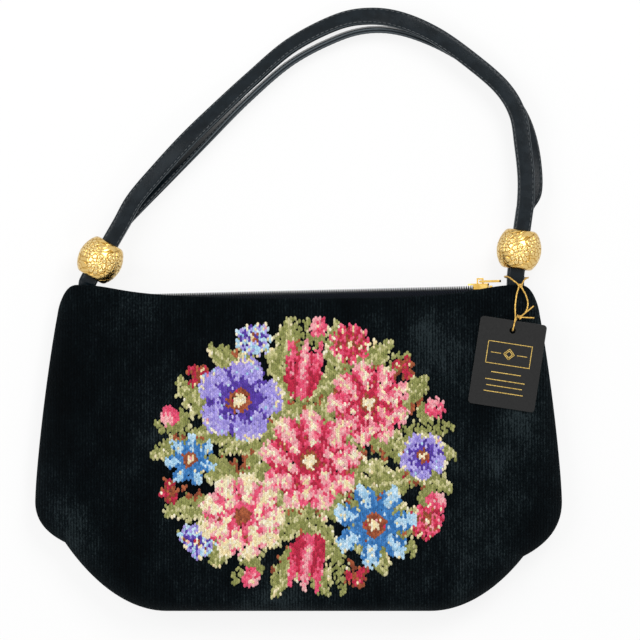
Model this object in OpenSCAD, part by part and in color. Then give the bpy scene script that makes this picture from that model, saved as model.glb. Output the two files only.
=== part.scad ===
// Zipped chenille handbag with a bouquet on its front, twin leather straps held by two barrel beads,
// and a swing tag on a thread. All sizes are in millimetres.
// The bag lies on its back: +X runs along the mouth, +Y from the base towards the straps, +Z out of the front.
// The origin is on the surface that the bag lies on, in the middle of the outline seen from above.

/* [Bag body] */
// Width of the bag at its widest, above the slanting corners
body_w = 300; // [284:1:330]
// How far each shoulder lies in from the widest point
side_lean = 12.5; // [6:0.5:20]
// Height from the base edge to the middle of the mouth edge
body_h = 178; // [168:1:200]
// How far the shoulders rise above the middle of the mouth edge
shoulder_rise = 7.5; // [4:0.5:11]
// Length of sewn seam on each shoulder, beyond the mouth
shoulder_seam = 6.5; // [5.5:0.5:9]
// Height of the widest point above the base edge
corner_rise = 62; // [54:1:72]
// Length of base edge that each slanting corner takes
corner_run = 75; // [64:1:86]
// Height of the left corner dart's end above the base edge
dart_up_left = 39; // [34:1:43]
// Height of the right corner dart's end above the base edge
dart_up_right = 31; // [27:1:40]
// How far the left dart's end lies in from the widest point
dart_in_left = 17; // [14:1:22]
// How far the right dart's end lies in from the widest point
dart_in_right = 22; // [16:1:26]
// Thickness of the chenille cloth
wall = 1.6; // [1:0.1:2]
// Thickness of the lining cloth
lining_t = 0.6; // [0.4:0.1:1]

/* [Filling] */
// Thickness of the lying bag at the mouth
thick_top = 20; // [19.5:0.5:23]
// Thickness of the lying bag at the base
thick_base = 30; // [26:0.5:36]
// Width of the rounded edge along the sides
side_roll = 36; // [28:1:44]
// Width of the rounded edge along the mouth
top_roll = 10; // [8:0.5:14]
// Width of the rounded edge along the base
base_roll = 7; // [5:0.5:9]
// Distance between the front and back cloth at the mouth
mouth_gap = 12; // [11.6:0.1:12.4]
// Height of the middle of the mouth above the surface
mouth_z = 12; // [11.8:0.1:12.4]

/* [Zip] */
// Distance from the left strap to the end of the zip's tape
zip_clear_left = 10; // [6:0.5:20]
// Distance from the right strap to the end of the zip's tape
zip_clear_right = 4.5; // [3.5:0.5:12]
// Length of tape beyond the teeth at each end
tape_over = 6; // [4:0.5:9]
// Slope of the zip, rising to the right, in degrees
zip_slope = 1.4; // [0:0.1:2]
// Height of the tips of the teeth above the mouth edge
zip_stand = 4.6; // [4.2:0.1:7]
// Distance from tooth to tooth
tooth_pitch = 1.3; // [1.1:0.1:2]
// Length of the slider
slider_len = 12; // [10:0.5:14]
// Length of the pull from its pivot
pull_len = 12; // [9:0.5:12.5]
// Width of the pull
pull_w = 4.2; // [3.8:0.1:5]

/* [Straps] */
// Width of each strap
strap_w = 10; // [8:0.5:11]
// Thickness of each strap
strap_t = 3.6; // [2.8:0.1:3.7]
// Reach of the straps from the middle of the mouth edge
strap_reach = 165; // [140:1:200]
// Distance of the left strap's middle from the end of the mouth
root_in_left = 12.5; // [9:0.5:18]
// Distance of the right strap's middle from the end of the mouth
root_in_right = 7; // [6.5:0.5:12]
// Length of strap that is sewn in below the shoulder
strap_tuck = 14; // [10:1:16]

/* [Beads] */
// Largest diameter of each barrel bead
bead_d = 25.5; // [24:0.5:27]
// Length of each bead along its hole
bead_len = 22.4; // [20:0.2:24]
// Diameter of the flat ends of each bead
bead_end_d = 16.6; // [16:0.2:18]
// Slope of the left bead's hole from the mouth edge, in degrees
bead_angle_left = 60; // [55:1:70]
// Slope of the right bead's hole from the mouth edge, in degrees
bead_angle_right = 82; // [76:1:90]
// Bare strap between the left shoulder and its bead
stub_left = 4.5; // [4:0.5:7]
// Bare strap between the right shoulder and its bead
stub_right = 9; // [8.5:0.5:11]
// How far each bead slides up the straps
bead_travel = 10; // [6:1:12]
// Running gap between a bead and the straps in it
bead_gap = 0.4; // [0.3:0.05:0.5]

/* [Swing tag] */
// Width of the card
tag_w = 38; // [34:1:42]
// Height of the card
tag_h = 50; // [46:1:54]
// Distance of the card's middle below the shoulder
tag_drop = 45; // [42:1:52]
// Distance of the card's middle to the left of the right strap
tag_aside = 5.5; // [2:0.5:10]
// Thickness of the card
tag_t = 0.5; // [0.4:0.1:0.8]
// Diameter of the card's punched hole
tag_hole_d = 3.5; // [3.2:0.1:4]
// Diameter of the tag's thread
thread_d = 1; // [0.8:0.1:1.1]

/* [Bouquet] */
// Width of the bouquet
bouquet_w = 174; // [150:1:180]
// Height of the bouquet
bouquet_h = 160; // [140:1:160]
// Distance between the ribs of coloured pile
rib_pitch = 4; // [3.5:0.25:5]
// Height of the coloured pile above the cloth
pile_h = 0.9; // [0.5:0.1:1.5]

/* [Hidden] */
PILES = ["pile_olive", "pile_pale_green", "pile_rose", "pile_pale_pink", "pile_crimson", "pile_cream",
         "pile_rust", "pile_violet", "pile_lavender", "pile_blue", "pile_pale_blue"];
PILE_COLOURS = ["#7d8047", "#b9b77e", "#ee5c84", "#f6a9b4", "#c0274a", "#f5e4bd",
                "#9a5034", "#54379b", "#a79be2", "#3b82c4", "#aed6f0"];

$fn = 48;
velvet = "#101114";
leather = "#1b1e20";
gold = "#d9a63c";
nylon = "#17181c";
satin = "#8d1f2d";
card = "#141414";
clear = 0.3;

// Frame of the whole bag, seen from above.
overall_h = body_h + strap_reach;
base_y = -overall_h / 2;
mouth_y = base_y + body_h;
shoulder_y = mouth_y + shoulder_rise;
apex_y = overall_h / 2;
half_w = body_w / 2;
shoulder_x = half_w - side_lean;
mouth_x = shoulder_x - shoulder_seam;
wide_y = base_y + corner_rise;
root_left = mouth_x - root_in_left;
root_right = mouth_x - root_in_right;

// The front lies in one plane that rises from the mouth to the base.
face_slope = atan((thick_base - thick_top) / body_h);
function face_z(y) = thick_top + (mouth_y - y) * tan(face_slope);
// The side and base seam runs half way up the lying bag.
seam_share = 0.5;
seam_gap = 0.05;
edge_sink = 1.5;
function seam_z(y) = seam_share * face_z(y);
function mix(a, b, t) = a + (b - a) * t;
function unit(v) = v / norm(v);
function limit(t) = min(1, max(0, t));
function bezier(a, b, c, d, n) = [for (k = [0:n - 1]) let (t = k / n, s = 1 - t)
    s * s * s * a + 3 * s * s * t * b + 3 * s * t * t * c + t * t * t * d];

// Outline of the bag, clockwise from the middle of the mouth. Each half is a chain of curves: mouth, shoulder,
// side, lower corner, slanting corner below the dart, and base. The dart leaves a sharp notch.
mouth_n = 9;
shoulder_n = 5;
side_n = 6;
corner_n = 5;
slant_n = 7;
base_n = 4;
shoulder_round = 17;
shoulder_top_x = mouth_x - 5;
base_x = half_w - corner_run;

function half_outline(dart, mouth, rise) = let (
    top = [shoulder_top_x, mouth + rise], hip = [shoulder_x, mouth + rise - shoulder_round],
    wide = [half_w, wide_y]) concat(
    bezier([0, mouth], [mouth_x * 0.84, mouth - 0.5], [mouth_x * 0.75, mouth + rise], top, mouth_n),
    bezier(top, [shoulder_x - 5, top[1]], [shoulder_x - 1, hip[1] + 8], hip, shoulder_n),
    bezier(hip, [mix(hip[0], wide[0], 0.45), mix(hip[1], wide[1], 0.28)],
           [mix(hip[0], wide[0], 0.97), mix(hip[1], wide[1], 0.8)], wide, side_n),
    bezier(wide, [wide[0], mix(wide[1], dart[1], 0.46)],
           [mix(dart[0], wide[0], 0.62), mix(dart[1], wide[1], 0.22)], dart, corner_n),
    bezier(dart, [mix(dart[0], base_x, 0.21), mix(dart[1], base_y, 0.46)],
           [mix(dart[0], base_x, 0.57), base_y], [base_x, base_y], slant_n),
    bezier([base_x, base_y], [base_x * 0.7, base_y], [base_x * 0.3, base_y], [0, base_y], base_n));

// Edge of the flat face, with one point for each point of the outline.
function half_face(roll, dart, mouth, edge) = let (
    x = half_w - roll, top = mouth - top_roll, low = base_y + edge, round_x = 26, bend = 0.55) concat(
    bezier([0, top], [(x - round_x) * 0.87, top], [(x - round_x) * 0.78, top], [x - round_x, top], mouth_n),
    bezier([x - round_x, top], [x - round_x * (1 - bend), top], [x, top - round_x * (1 - bend)],
           [x, top - round_x], shoulder_n),
    bezier([x, top - round_x], [x, mix(top, wide_y, 0.55)], [x, mix(top, wide_y, 0.7)], [x, wide_y], side_n),
    bezier([x, wide_y], [x, mix(wide_y, dart[1], 0.2)], [x - 0.1 * roll, mix(wide_y, dart[1], 0.6)],
           [x - 0.2 * roll, mix(wide_y, dart[1], 0.92)], corner_n),
    bezier([x - 0.2 * roll, mix(wide_y, dart[1], 0.92)], [x - 0.4 * roll, mix(dart[1], base_y, 0.33)],
           [base_x * 1.1, low], [base_x * 0.87, low], slant_n),
    bezier([base_x * 0.87, low], [base_x * 0.6, low], [base_x * 0.3, low], [0, low], base_n));

function flip(p) = [for (q = p) [-q[0], q[1]]];
function rest(p) = [for (k = [1:len(p) - 1]) p[k]];
function back_to_front(p) = [for (k = [len(p) - 1:-1:0]) p[k]];
function whole(right, left, foot) = concat(right, [foot], back_to_front(rest(flip(left))));

dart_left = [half_w - dart_in_left, base_y + dart_up_left];
dart_right = [half_w - dart_in_right, base_y + dart_up_right];
function outline(mouth, rise) = whole(
    half_outline(dart_right, mouth, rise), half_outline(dart_left, mouth, rise), [0, base_y]);
function face_edge(roll, mouth, edge) = whole(
    half_face(roll, dart_right, mouth, edge), half_face(roll, dart_left, mouth, edge), [0, base_y + edge]);

// How open the mouth is at a point of the outline: 1 along the mouth, 0 along the sewn seam.
function openness(p, mouth) = p[1] < mouth - 2 ? 0 : limit((mouth_x + 4 - abs(p[0])) / 5);

// One ring of a panel's surface, at a depth under its outer face.
// s runs from the seam at 0 to the flat face at 1.
function panel_ring(front, edge, flat, depth, mouth, s) = [for (k = [0:len(edge) - 1]) let (
    p = edge[k], q = flat[k], open = openness(p, mouth), e = 1 - cos(90 * s), h = sin(90 * s),
    start = p + unit(q - p) * depth * (1 - open), xy = mix(start, q, e),
    lip = front ? min(face_z(p[1]) - edge_sink, mouth_z + mouth_gap / 2) - depth
                : mouth_z - mouth_gap / 2 + depth,
    low = mix(seam_z(p[1]) + (front ? seam_gap : -seam_gap), lip, open),
    top = front ? face_z(q[1]) - depth : depth)
    [xy[0], xy[1], mix(low, top, h)]];

// A shell of cloth between two depths: an outer skin, an inner skin and the rim along the seam and mouth.
module cloth_shell(front, mouth, rise, roll, base_edge, depth, thick, rings) {
    edge = outline(mouth, rise);
    flat = face_edge(roll, mouth, base_edge);
    n = len(edge);
    points = [for (skin = [0, 1]) for (r = [0:rings])
        each panel_ring(front, edge, flat, depth + skin * thick, mouth, r / rings)];
    last = (rings + 1) * n;
    bands = [for (skin = [0, 1]) for (r = [0:rings - 1]) for (k = [0:n - 1]) let (
        a = skin * last + r * n + k, b = skin * last + r * n + (k + 1) % n)
        each skin == 0 ? [[a, b, b + n], [a, b + n, a + n]] : [[a, b + n, b], [a, a + n, b + n]]];
    caps = [[for (k = [0:n - 1]) rings * n + k], [for (k = [n - 1:-1:0]) last + rings * n + k]];
    rim = [for (k = [0:n - 1]) let (b = (k + 1) % n) each [[b, k, last + k], [b, last + k, last + b]]];
    faces = concat(bands, caps, rim);
    polyhedron(points, front ? faces : [for (f = faces) back_to_front(f)]);
}

floor_roll = 40;
floor_edge = 14;
panel_rings = 5;
lining_rings = 3;
lining_y = mouth_y - 19;
lining_depth = wall + 0.5;

module front_panel() {
    color(velvet) cloth_shell(true, mouth_y, shoulder_rise, side_roll, base_roll, 0, wall, panel_rings);
}

module back_panel() {
    color(velvet) cloth_shell(false, mouth_y, shoulder_rise, floor_roll, floor_edge, 0, wall, panel_rings);
}

module lining_front() {
    color(satin) cloth_shell(true, lining_y, 0, side_roll, base_roll, lining_depth, lining_t, lining_rings);
}

module lining_back() {
    color(satin) cloth_shell(false, lining_y, 0, floor_roll, floor_edge, lining_depth, lining_t, lining_rings);
}

// The zip's own frame: x along the teeth, y out of the mouth from the tips of the teeth, z across to the front.
tooth_h = 2.4;
tooth_lean = 0.45;
tooth_share = 0.5;
tooth_reach = 2.6;
divider_gap = 0.55;
tape_t = 0.6;
tape_half = mouth_gap / 2 - wall - clear;
tape_down = 15;
stop_len = 1.6;

// The zip runs between the straps, clear of each.
zip_left = root_left - strap_w / 2 - zip_clear_left - tape_over;
zip_right = root_right - strap_w / 2 - zip_clear_right - tape_over;
zip_len = zip_left + zip_right;
zip_shift = (zip_right - zip_left) / 2;

module on_zip() {
    translate([zip_shift, mouth_y + zip_stand, mouth_z]) rotate([0, 0, zip_slope]) children();
}

// One tape is a strip bent once: flat under the teeth, then down inside the cloth.
module zip_tape() {
    color(nylon) rotate([90, 0, 90]) linear_extrude(zip_len + 2 * tape_over, center = true) polygon([
        [-tooth_h, divider_gap], [-tooth_h, tape_half],
        [-tape_down, tape_half], [-tape_down, tape_half - tape_t],
        [-tooth_h - tape_t, tape_half - tape_t], [-tooth_h - tape_t, divider_gap]]);
}

module zip_teeth(shift) {
    count = floor(zip_len / tooth_pitch - shift);
    foot = tooth_pitch * tooth_share;
    color(nylon) for (k = [0:count - 1]) translate([-zip_len / 2 + (k + shift) * tooth_pitch, 0, divider_gap])
        linear_extrude(tooth_reach - divider_gap) polygon([
            [0, -tooth_h], [foot, -tooth_h], [foot + tooth_lean, 0], [tooth_lean, 0]]);
}

module zip_tape_front() { on_zip() zip_tape(); }
module zip_tape_back() { on_zip() mirror([0, 0, 1]) zip_tape(); }
module zip_teeth_front() { on_zip() zip_teeth(0); }
module zip_teeth_back() { on_zip() mirror([0, 0, 1]) zip_teeth(0.5); }

// Two metal stops beyond the last teeth on the right, and one that bridges both tapes on the left.
module zip_top_stops() {
    color(gold) on_zip() for (side = [0, 1]) mirror([0, 0, side])
        translate([zip_len / 2 + clear, -tooth_h, divider_gap])
            cube([stop_len, tooth_h, tooth_reach - divider_gap]);
}

module zip_bottom_stop() {
    color(gold) on_zip() translate([-zip_len / 2 - clear - stop_len, -tooth_h, -tooth_reach])
        cube([stop_len, tooth_h, 2 * tooth_reach]);
}

plate_t = 1;
flange_t = 0.5;
flange_z = tooth_reach + clear;
slider_half = flange_z + flange_t;
under_half = tape_half - tape_t - clear - 0.2;
slider_x = zip_len / 2 - slider_len / 2;
divider_t = 2 * (divider_gap - clear);
divider_len = 2.5;
plate_y = clear;
pull_bar_d = 1.2;
pull_t = 1.3;
crown_half_z = 1;
crown_t = 0.9;
crown_in_x = pull_bar_d / 2 + 0.5;
crown_in_h = pull_bar_d + 2 * 0.5;
crown_x = slider_x + 1;
pivot_y = plate_y + plate_t + crown_in_h / 2;

// A plate whose rear end is drawn in, as a slider's is.
module slider_plate(half, thick) {
    taper = 0.7;
    rotate([90, 0, 0]) linear_extrude(thick) polygon([
        [-slider_len / 2, -half * taper], [-slider_len / 4, -half],
        [slider_len / 2 - 1, -half], [slider_len / 2, -half + 1],
        [slider_len / 2, half - 1], [slider_len / 2 - 1, half],
        [-slider_len / 4, half], [-slider_len / 2, half * taper]]);
}

module zip_slider() {
    color(gold) on_zip() union() {
        translate([slider_x, plate_y + plate_t, 0]) slider_plate(slider_half, plate_t);
        translate([slider_x, -tooth_h - tape_t - clear, 0]) slider_plate(under_half, plate_t);
        for (side = [0, 1]) mirror([0, 0, side])
            translate([slider_x - slider_len / 4, -tooth_h + clear, flange_z])
                cube([slider_len * 3 / 4 - 1, tooth_h + plate_y, flange_t]);
        translate([slider_x + slider_len / 2 - divider_len, -tooth_h - tape_t - clear - plate_t, -divider_t / 2])
            cube([divider_len, tooth_h + tape_t + clear + 2 * plate_t + plate_y, divider_t]);
        translate([crown_x, plate_y + plate_t, -crown_half_z]) linear_extrude(2 * crown_half_z) difference() {
            translate([-crown_in_x - crown_t, -plate_t / 2])
                square([2 * (crown_in_x + crown_t), crown_in_h + crown_t + plate_t / 2]);
            translate([-crown_in_x, 0]) square([2 * crown_in_x, crown_in_h]);
        }
    }
}

// The pull hangs on a bar through the crown. Its window leaves room for the crown to pass as it swings over.
module zip_pull() {
    leg = pull_w / 2 - crown_half_z - clear;
    window = norm([crown_in_x + crown_t, crown_in_h / 2 + crown_t]) + clear;
    eye_d = pull_w * 0.4;
    color(gold) on_zip() translate([crown_x, pivot_y, 0]) union() {
        translate([0, 0, -pull_w / 2]) cylinder(d = pull_bar_d, h = pull_w);
        rotate([90, 0, 0]) linear_extrude(pull_t, center = true) difference() {
            union() {
                translate([0, -pull_w / 2]) square([pull_len - pull_w / 2, pull_w]);
                translate([pull_len - pull_w / 2, 0]) circle(d = pull_w);
            }
            translate([-1, -pull_w / 2 + leg]) square([window + 1, pull_w - 2 * leg]);
            translate([pull_len - pull_w / 2, 0]) circle(d = eye_d);
        }
    }
}

// Each bead lies on the surface, with its hole along the straps that pass through it.
bead_z = bead_d / 2 + clear;
bead_bands = 14;
strap_gap = 0.6;
function bead_way(angle) = [cos(angle), sin(angle), 0];
left_way = bead_way(bead_angle_left);
right_way = bead_way(bead_angle_right);
left_foot = [-root_left, shoulder_y + stub_left, bead_z];
right_foot = [root_right, shoulder_y + stub_right, bead_z];

module bead(foot, way, angle) {
    sag = (bead_d - bead_end_d) / 2;
    arc_r = (bead_len * bead_len / 4 + sag * sag) / (2 * sag);
    hole = [strap_w + 2 * bead_gap, 2 * strap_t + strap_gap + 2 * bead_gap];
    spread = asin(bead_len / 2 / arc_r);
    barrel = [for (k = [0:bead_bands]) let (a = spread * (2 * k / bead_bands - 1))
        [bead_d / 2 - arc_r * (1 - cos(a)), arc_r * sin(a)]];
    color(gold) translate(foot + way * bead_len / 2)
        rotate([0, 0, angle - 90]) rotate([-90, 0, 0]) difference() {
        rotate_extrude() polygon(concat(barrel, [[0, bead_len / 2], [0, -bead_len / 2]]));
        cube([hole[0], hole[1], 2 * bead_len], center = true);
    }
}

module bead_left() { bead(left_foot, left_way, bead_angle_left); }
module bead_right() { bead(right_foot, right_way, bead_angle_right); }

// Each strap is one long sweep: sewn end, bead, free run over the arch, bead, sewn end.
// A row of a free run is [share of the span, share of the height, height in strap widths, lean in degrees].
// A lean raises the edge that faces the bag.
over_run = [[0.035, 0.12, 1.46, 3], [0.096, 0.26, 1.39, 8], [0.167, 0.41, 1.26, 14], [0.246, 0.56, 0.88, 22],
            [0.323, 0.70, 0.60, 30], [0.42, 0.86, 0.52, 32], [0.53, 0.97, 0.66, 26], [0.61, 1.00, 0.97, 14],
            [0.69, 0.98, 1.29, 4], [0.78, 0.905, 1.32, 0], [0.87, 0.782, 1.33, 0], [0.944, 0.655, 1.36, 0],
            [0.982, 0.53, 1.38, 0], [0.995, 0.38, 1.42, 0], [1.003, 0.22, 1.46, 0]];
under_run = [[0.02, 0.055, 1.02, 8], [0.10, 0.21, 0.80, 30], [0.202, 0.40, 0.61, 56], [0.31, 0.597, 0.55, 78],
             [0.42, 0.779, 0.55, 80], [0.53, 0.892, 0.55, 80], [0.61, 0.936, 0.55, 80], [0.69, 0.928, 0.55, 80],
             [0.78, 0.867, 0.55, 80], [0.87, 0.768, 0.55, 80], [0.94, 0.675, 0.56, 74], [0.982, 0.57, 0.60, 58],
             [1.007, 0.45, 0.70, 36], [1.021, 0.30, 0.86, 16], [1.022, 0.16, 1.00, 4]];
run_steps = 4;
sewn_steps = 3;
bead_steps = 2;
lead = bead_len + bead_travel + 4;
bead_lead = 2;

function lift(p, z) = [p[0], p[1], p[2] + z];
function spline_at(a, b, c, d, t) = 0.5 * (2 * b + (c - a) * t + (2 * a - 5 * b + 4 * c - d) * t * t
                                         + (3 * b - a - 3 * c + d) * t * t * t);
// A curve through points p, from a heading set by before and to a heading set by after.
function spline(before, p, after, n) = let (q = concat([before], p, [after])) [
    for (k = [1:len(p) - 1]) for (j = [0:n - 1]) spline_at(q[k - 1], q[k], q[k + 1], q[k + 2], j / n)];
function lean(p, a) = [p[0], p[1], p[2], a];

// Points down the middle of a strap with its lean as a fourth value. level is its height over the pair's middle.
function strap_line(run, level) = let (
    l0 = lift(left_foot - left_way * bead_lead, level), l1 = l0 + left_way * lead,
    r0 = lift(right_foot - right_way * bead_lead, level), r1 = r0 + right_way * lead,
    l_sewn = [l0[0] - left_way[0] * bead_lead, shoulder_y - 1, mouth_z + level],
    r_sewn = [r0[0] - right_way[0] * bead_lead, shoulder_y - 1, mouth_z + level],
    tuck = [0, strap_tuck, 0],
    rise = apex_y - strap_w * 0.43 - l1[1],
    free = [for (s = run) [mix(l1[0], r1[0], s[0]), l1[1] + rise * s[1], s[2] * strap_w, s[3]]],
    l_in = [lean(l_sewn - tuck, 0), lean(l_sewn, 0), lean(l0, 0)],
    r_in = [lean(r0, 0), lean(r_sewn, 0), lean(r_sewn - tuck, 0)],
    arch = concat([lean(l1, 0)], free, [lean(r1, 0)]))
    concat(
        spline(lean(l_sewn - 2 * tuck, 0), l_in, lean(l0 + left_way * 5, 0), sewn_steps),
        [for (k = [0:bead_steps - 1]) lean(mix(l0, l1, k / bead_steps), 0)],
        spline(lean(l1 - left_way * 20, 0), arch, lean(r1 - right_way * 20, 0), run_steps),
        [for (k = [0:bead_steps - 1]) lean(mix(r1, r0, k / bead_steps), 0)],
        spline(lean(r0 + right_way * 9, 0), r_in, lean(r_sewn - 2 * tuck, 0), sewn_steps),
        [lean(r_sewn - tuck, 0)]);

function place(p) = [p[0], p[1], p[2]];
strap_edge = 0.9;
// A strap's section: a flat bar with bevelled edges, along its width and its thickness.
strap_section = let (w = strap_w / 2, t = strap_t / 2, e = strap_edge) [
    [w, t - e], [w - e, t], [e - w, t], [-w, t - e], [-w, e - t], [e - w, -t], [w - e, -t], [w, e - t]];

// A closed tube of sections along a line. A line's fourth value turns the section about the line.
module sweep(line, section) {
    n = len(line);
    m = len(section);
    points = [for (k = [0:n - 1]) let (
        heading = unit(place(line[min(k + 1, n - 1)]) - place(line[max(k - 1, 0)])),
        side = unit(cross([0, 0, 1], heading)), up = cross(heading, side), a = line[k][3],
        across = side * cos(a) - up * sin(a), over = side * sin(a) + up * cos(a))
        for (q = section) place(line[k]) + across * q[0] + over * q[1]];
    faces = concat([[for (j = [0:m - 1]) j]],
        [for (k = [0:n - 2]) for (j = [0:m - 1]) let (a = k * m + j, b = k * m + (j + 1) % m)
            each [[a, a + m, b], [b, a + m, b + m]]],
        [[for (j = [m - 1:-1:0]) (n - 1) * m + j]]);
    polyhedron(points, faces);
}

pair_level = strap_t / 2 + strap_gap / 2;
module strap_over() { color(leather) sweep(strap_line(over_run, pair_level), strap_section); }
module strap_under() { color(leather) sweep(strap_line(under_run, -pair_level), strap_section); }

// The card lies on the front with its top end lifted by its thread.
tag_turn = -8.7;
tag_lift = 2.6;
tag_hole_in = 5.8;
tag_corner = 2;
tag_tilt = tag_lift - face_slope;
tag_xy = [root_right - tag_aside, shoulder_y - tag_drop];
tag_at = [tag_xy[0], tag_xy[1], face_z(tag_xy[1]) + clear + tag_h / 2 * sin(tag_lift)];

module swing_tag() {
    color(card) translate(tag_at) rotate([tag_tilt, 0, 0]) rotate([0, 0, tag_turn])
        linear_extrude(tag_t) difference() {
            union() {
                square([tag_w - 2 * tag_corner, tag_h], center = true);
                square([tag_w, tag_h - 2 * tag_corner], center = true);
                for (x = [-1, 1]) for (y = [-1, 1])
                    translate([x * (tag_w / 2 - tag_corner), y * (tag_h / 2 - tag_corner)])
                        circle(r = tag_corner);
            }
            translate([0, tag_h / 2 - tag_hole_in]) circle(d = tag_hole_d);
        }
}

// The thread starts at its knot by the card, goes round the right strap pair under the bead, comes back and
// loops through the card's hole. Its points are set off from the hole, the shoulder and the strap pair.
hole_far = tag_h / 2 - tag_hole_in;
hole_at = tag_at + [-hole_far * sin(tag_turn), hole_far * cos(tag_turn) * cos(tag_tilt),
                    hole_far * cos(tag_turn) * sin(tag_tilt)];
thread_room = thread_d / 2 + 0.4;
wrap_at = [root_right, shoulder_y + stub_right * 0.45, mix(mouth_z, bead_z, 0.5)];
wrap_half = [strap_w / 2 + thread_room, 1, strap_t + strap_gap / 2 + thread_room];
function by_hole(x, y, z) = hole_at + [x, y, z];
function by_shoulder(x, y, z) = [root_right + x, shoulder_y + y, face_z(shoulder_y + y) + z];
function round_pair(x, y, z) = wrap_at + [x * wrap_half[0], y, z * wrap_half[2]];
thread_route = [by_hole(4.2, 7.6, 0), by_hole(7.6, 10.8, -1.4), by_shoulder(6.2, -10.5, 0.2),
                by_shoulder(4.9, -5.6, 0.6), by_shoulder(2.7, -1.2, 0.9), round_pair(0.72, -1.4, 1.12),
                round_pair(1.1, 0, 0.6), round_pair(1.08, 0, -0.55), round_pair(0.65, 0, -1.12),
                round_pair(-0.65, 0, -1.12), round_pair(-1.08, 0.4, -0.55), round_pair(-1.1, 0.8, 0.65),
                round_pair(-0.8, 0.4, 1.2), by_shoulder(-1.8, 2.2, 1.6), by_shoulder(0.9, -0.6, 1.4),
                by_shoulder(-0.2, -5.6, 1.1), by_hole(1.5, 14.2, -0.6), by_hole(1.5, 9.8, 0.2),
                by_hole(1.4, 6.6, 1.7), by_hole(0.8, 3.4, 2.2), by_hole(0.4, 1.95, 2.2), by_hole(0.2, 0.98, 1.94),
                by_hole(0.1, 0.26, 1.23), by_hole(0, 0, 0.25), by_hole(0.1, 0.26, -0.73), by_hole(0.2, 0.98, -1.44),
                by_hole(0.4, 1.95, -1.7), by_hole(0.8, 3.4, -1.7), by_hole(2.2, 6.8, -1.6), by_hole(3.2, 9, -1.6)];
thread_steps = 3;
thread_sides = 8;
module tag_thread() {
    last = len(thread_route) - 1;
    route = [for (p = thread_route) lean(p, 0)];
    before = 2 * route[0] - route[1];
    after = 2 * route[last] - route[last - 1];
    line = concat(spline(before, route, after, thread_steps), [route[last]]);
    color(gold) sweep(line, [for (k = [0:thread_sides - 1]) let (a = 360 * (k + 0.5) / thread_sides)
        [cos(a), sin(a)] * thread_d / 2]);
}

// The bouquet is woven in ribs of coloured pile. A motif is [kind, x, y, size, turn, colours], set off from the
// bouquet's middle in shares of half its width and height, with its size a share of half its height.
// Those first in the list lie in front.
BLOOM = 0;
PANSY = 1;
STAR = 2;
TULIP = 3;
BUD = 4;
BERRIES = 5;
LEAF = 6;
FROND = 7;
OLIVE = 1;
PALE_GREEN = 2;
ROSE = 3;
PALE_PINK = 4;
CRIMSON = 5;
CREAM = 6;
RUST = 7;
VIOLET = 8;
LAVENDER = 9;
BLUE = 10;
PALE_BLUE = 11;
bouquet_y = base_y + base_roll + bouquet_h / 2 + 1;
bouquet_x = 3;
// Colours of a bloom, from the foot of its petals to their tips, with its eye last.
PINK = [CRIMSON, ROSE, PALE_PINK, CREAM];
BLUSH = [ROSE, PALE_PINK, CREAM, RUST];
RED = [RUST, CRIMSON, ROSE, CREAM];
LILAC = [VIOLET, LAVENDER, PALE_BLUE, CREAM];
function ring_of(kind, count, far, size, turn, start) = [
    for (k = [0:count - 1]) let (a = 360 * k / count + start)
    [kind, far * cos(a), far * sin(a), size, a + turn]];
motifs = concat(
    [[BLOOM, 0.04, -0.03, 0.36, 8, PINK], [BLOOM, 0.42, 0.38, 0.30, 20, PINK],
     [BLOOM, -0.40, -0.42, 0.31, 0, BLUSH],
     [PANSY, -0.42, 0.40, 0.31, -14], [STAR, 0.46, -0.48, 0.30, 35], [STAR, -0.74, -0.02, 0.19, 10],
     [PANSY, 0.78, 0, 0.18, 30], [TULIP, 0, 0.62, 0.21, 84], [TULIP, 0.02, -0.74, 0.21, 262],
     [BLOOM, -0.70, -0.60, 0.14, 0, LILAC], [BLOOM, 0.30, 0.80, 0.15, 0, RED],
     [BLOOM, -0.33, 0.84, 0.14, 0, LILAC],
     [BLOOM, 0.80, -0.46, 0.14, 0, RED]],
    ring_of(BUD, 5, 0.9, 0.12, 0, 20), ring_of(BERRIES, 4, 0.9, 0.12, 0, 47),
    ring_of(LEAF, 15, 0.81, 0.21, -18, 4), ring_of(FROND, 9, 0.83, 0.19, -8, 14),
    ring_of(LEAF, 12, 0.56, 0.25, 30, 10), ring_of(LEAF, 8, 0.34, 0.28, 50, 20));

// Place across one of a ring of petals, from -1 to 1, and the petals' rim at that place.
function across(a, count, turn) = let (b = (a - turn) * count / 360 + 0.5) 2 * (b - floor(b)) - 1;
function rim(a, count, turn, reach, notch) = reach * (1 - notch * pow(abs(across(a, count, turn)), 2.2));
// Colour of each kind of motif in its own frame: r is the distance from its middle, a the direction.
function bloom(r, a, c) = r < 0.2 ? c[3]
    : r < rim(a, 6, 11, 0.46, 0.24) ? (r > 0.34 ? c[1] : c[0])
    : r < rim(a, 8, 31, 0.74, 0.24) ? (r > 0.62 ? c[2] : r > 0.5 ? c[1] : c[0])
    : r < rim(a, 9, 0, 1, 0.24) ? (r > 0.86 ? c[2] : c[1]) : 0;
function pansy(r, a) = r > rim(a, 5, 90, 1, 0.3) ? 0
    : r < 0.17 ? CREAM : r < 0.3 ? RUST : r < 0.54 ? VIOLET : LAVENDER;
function star(r, a) = r > rim(a, 7, 23, 1, 0.55) ? 0 : r < 0.16 ? CREAM : r < 0.3 ? RUST
    : r > 0.5 && abs(across(a, 7, 23)) < 0.45 ? PALE_BLUE : BLUE;
function tulip(x, y) = let (
    width = x < -0.1 ? 0.62 * sqrt(max(0, 1 - pow((x + 0.12) / 0.85, 2))) : 0.62 - 0.1 * (x + 0.1),
    tips = 1 - 2.3 * min(abs(y), abs(abs(y) - 0.48)))
    abs(y) > width || x > tips ? 0 : abs(y) < 0.12 ? PALE_PINK : abs(y) < 0.3 ? ROSE : CRIMSON;
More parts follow.
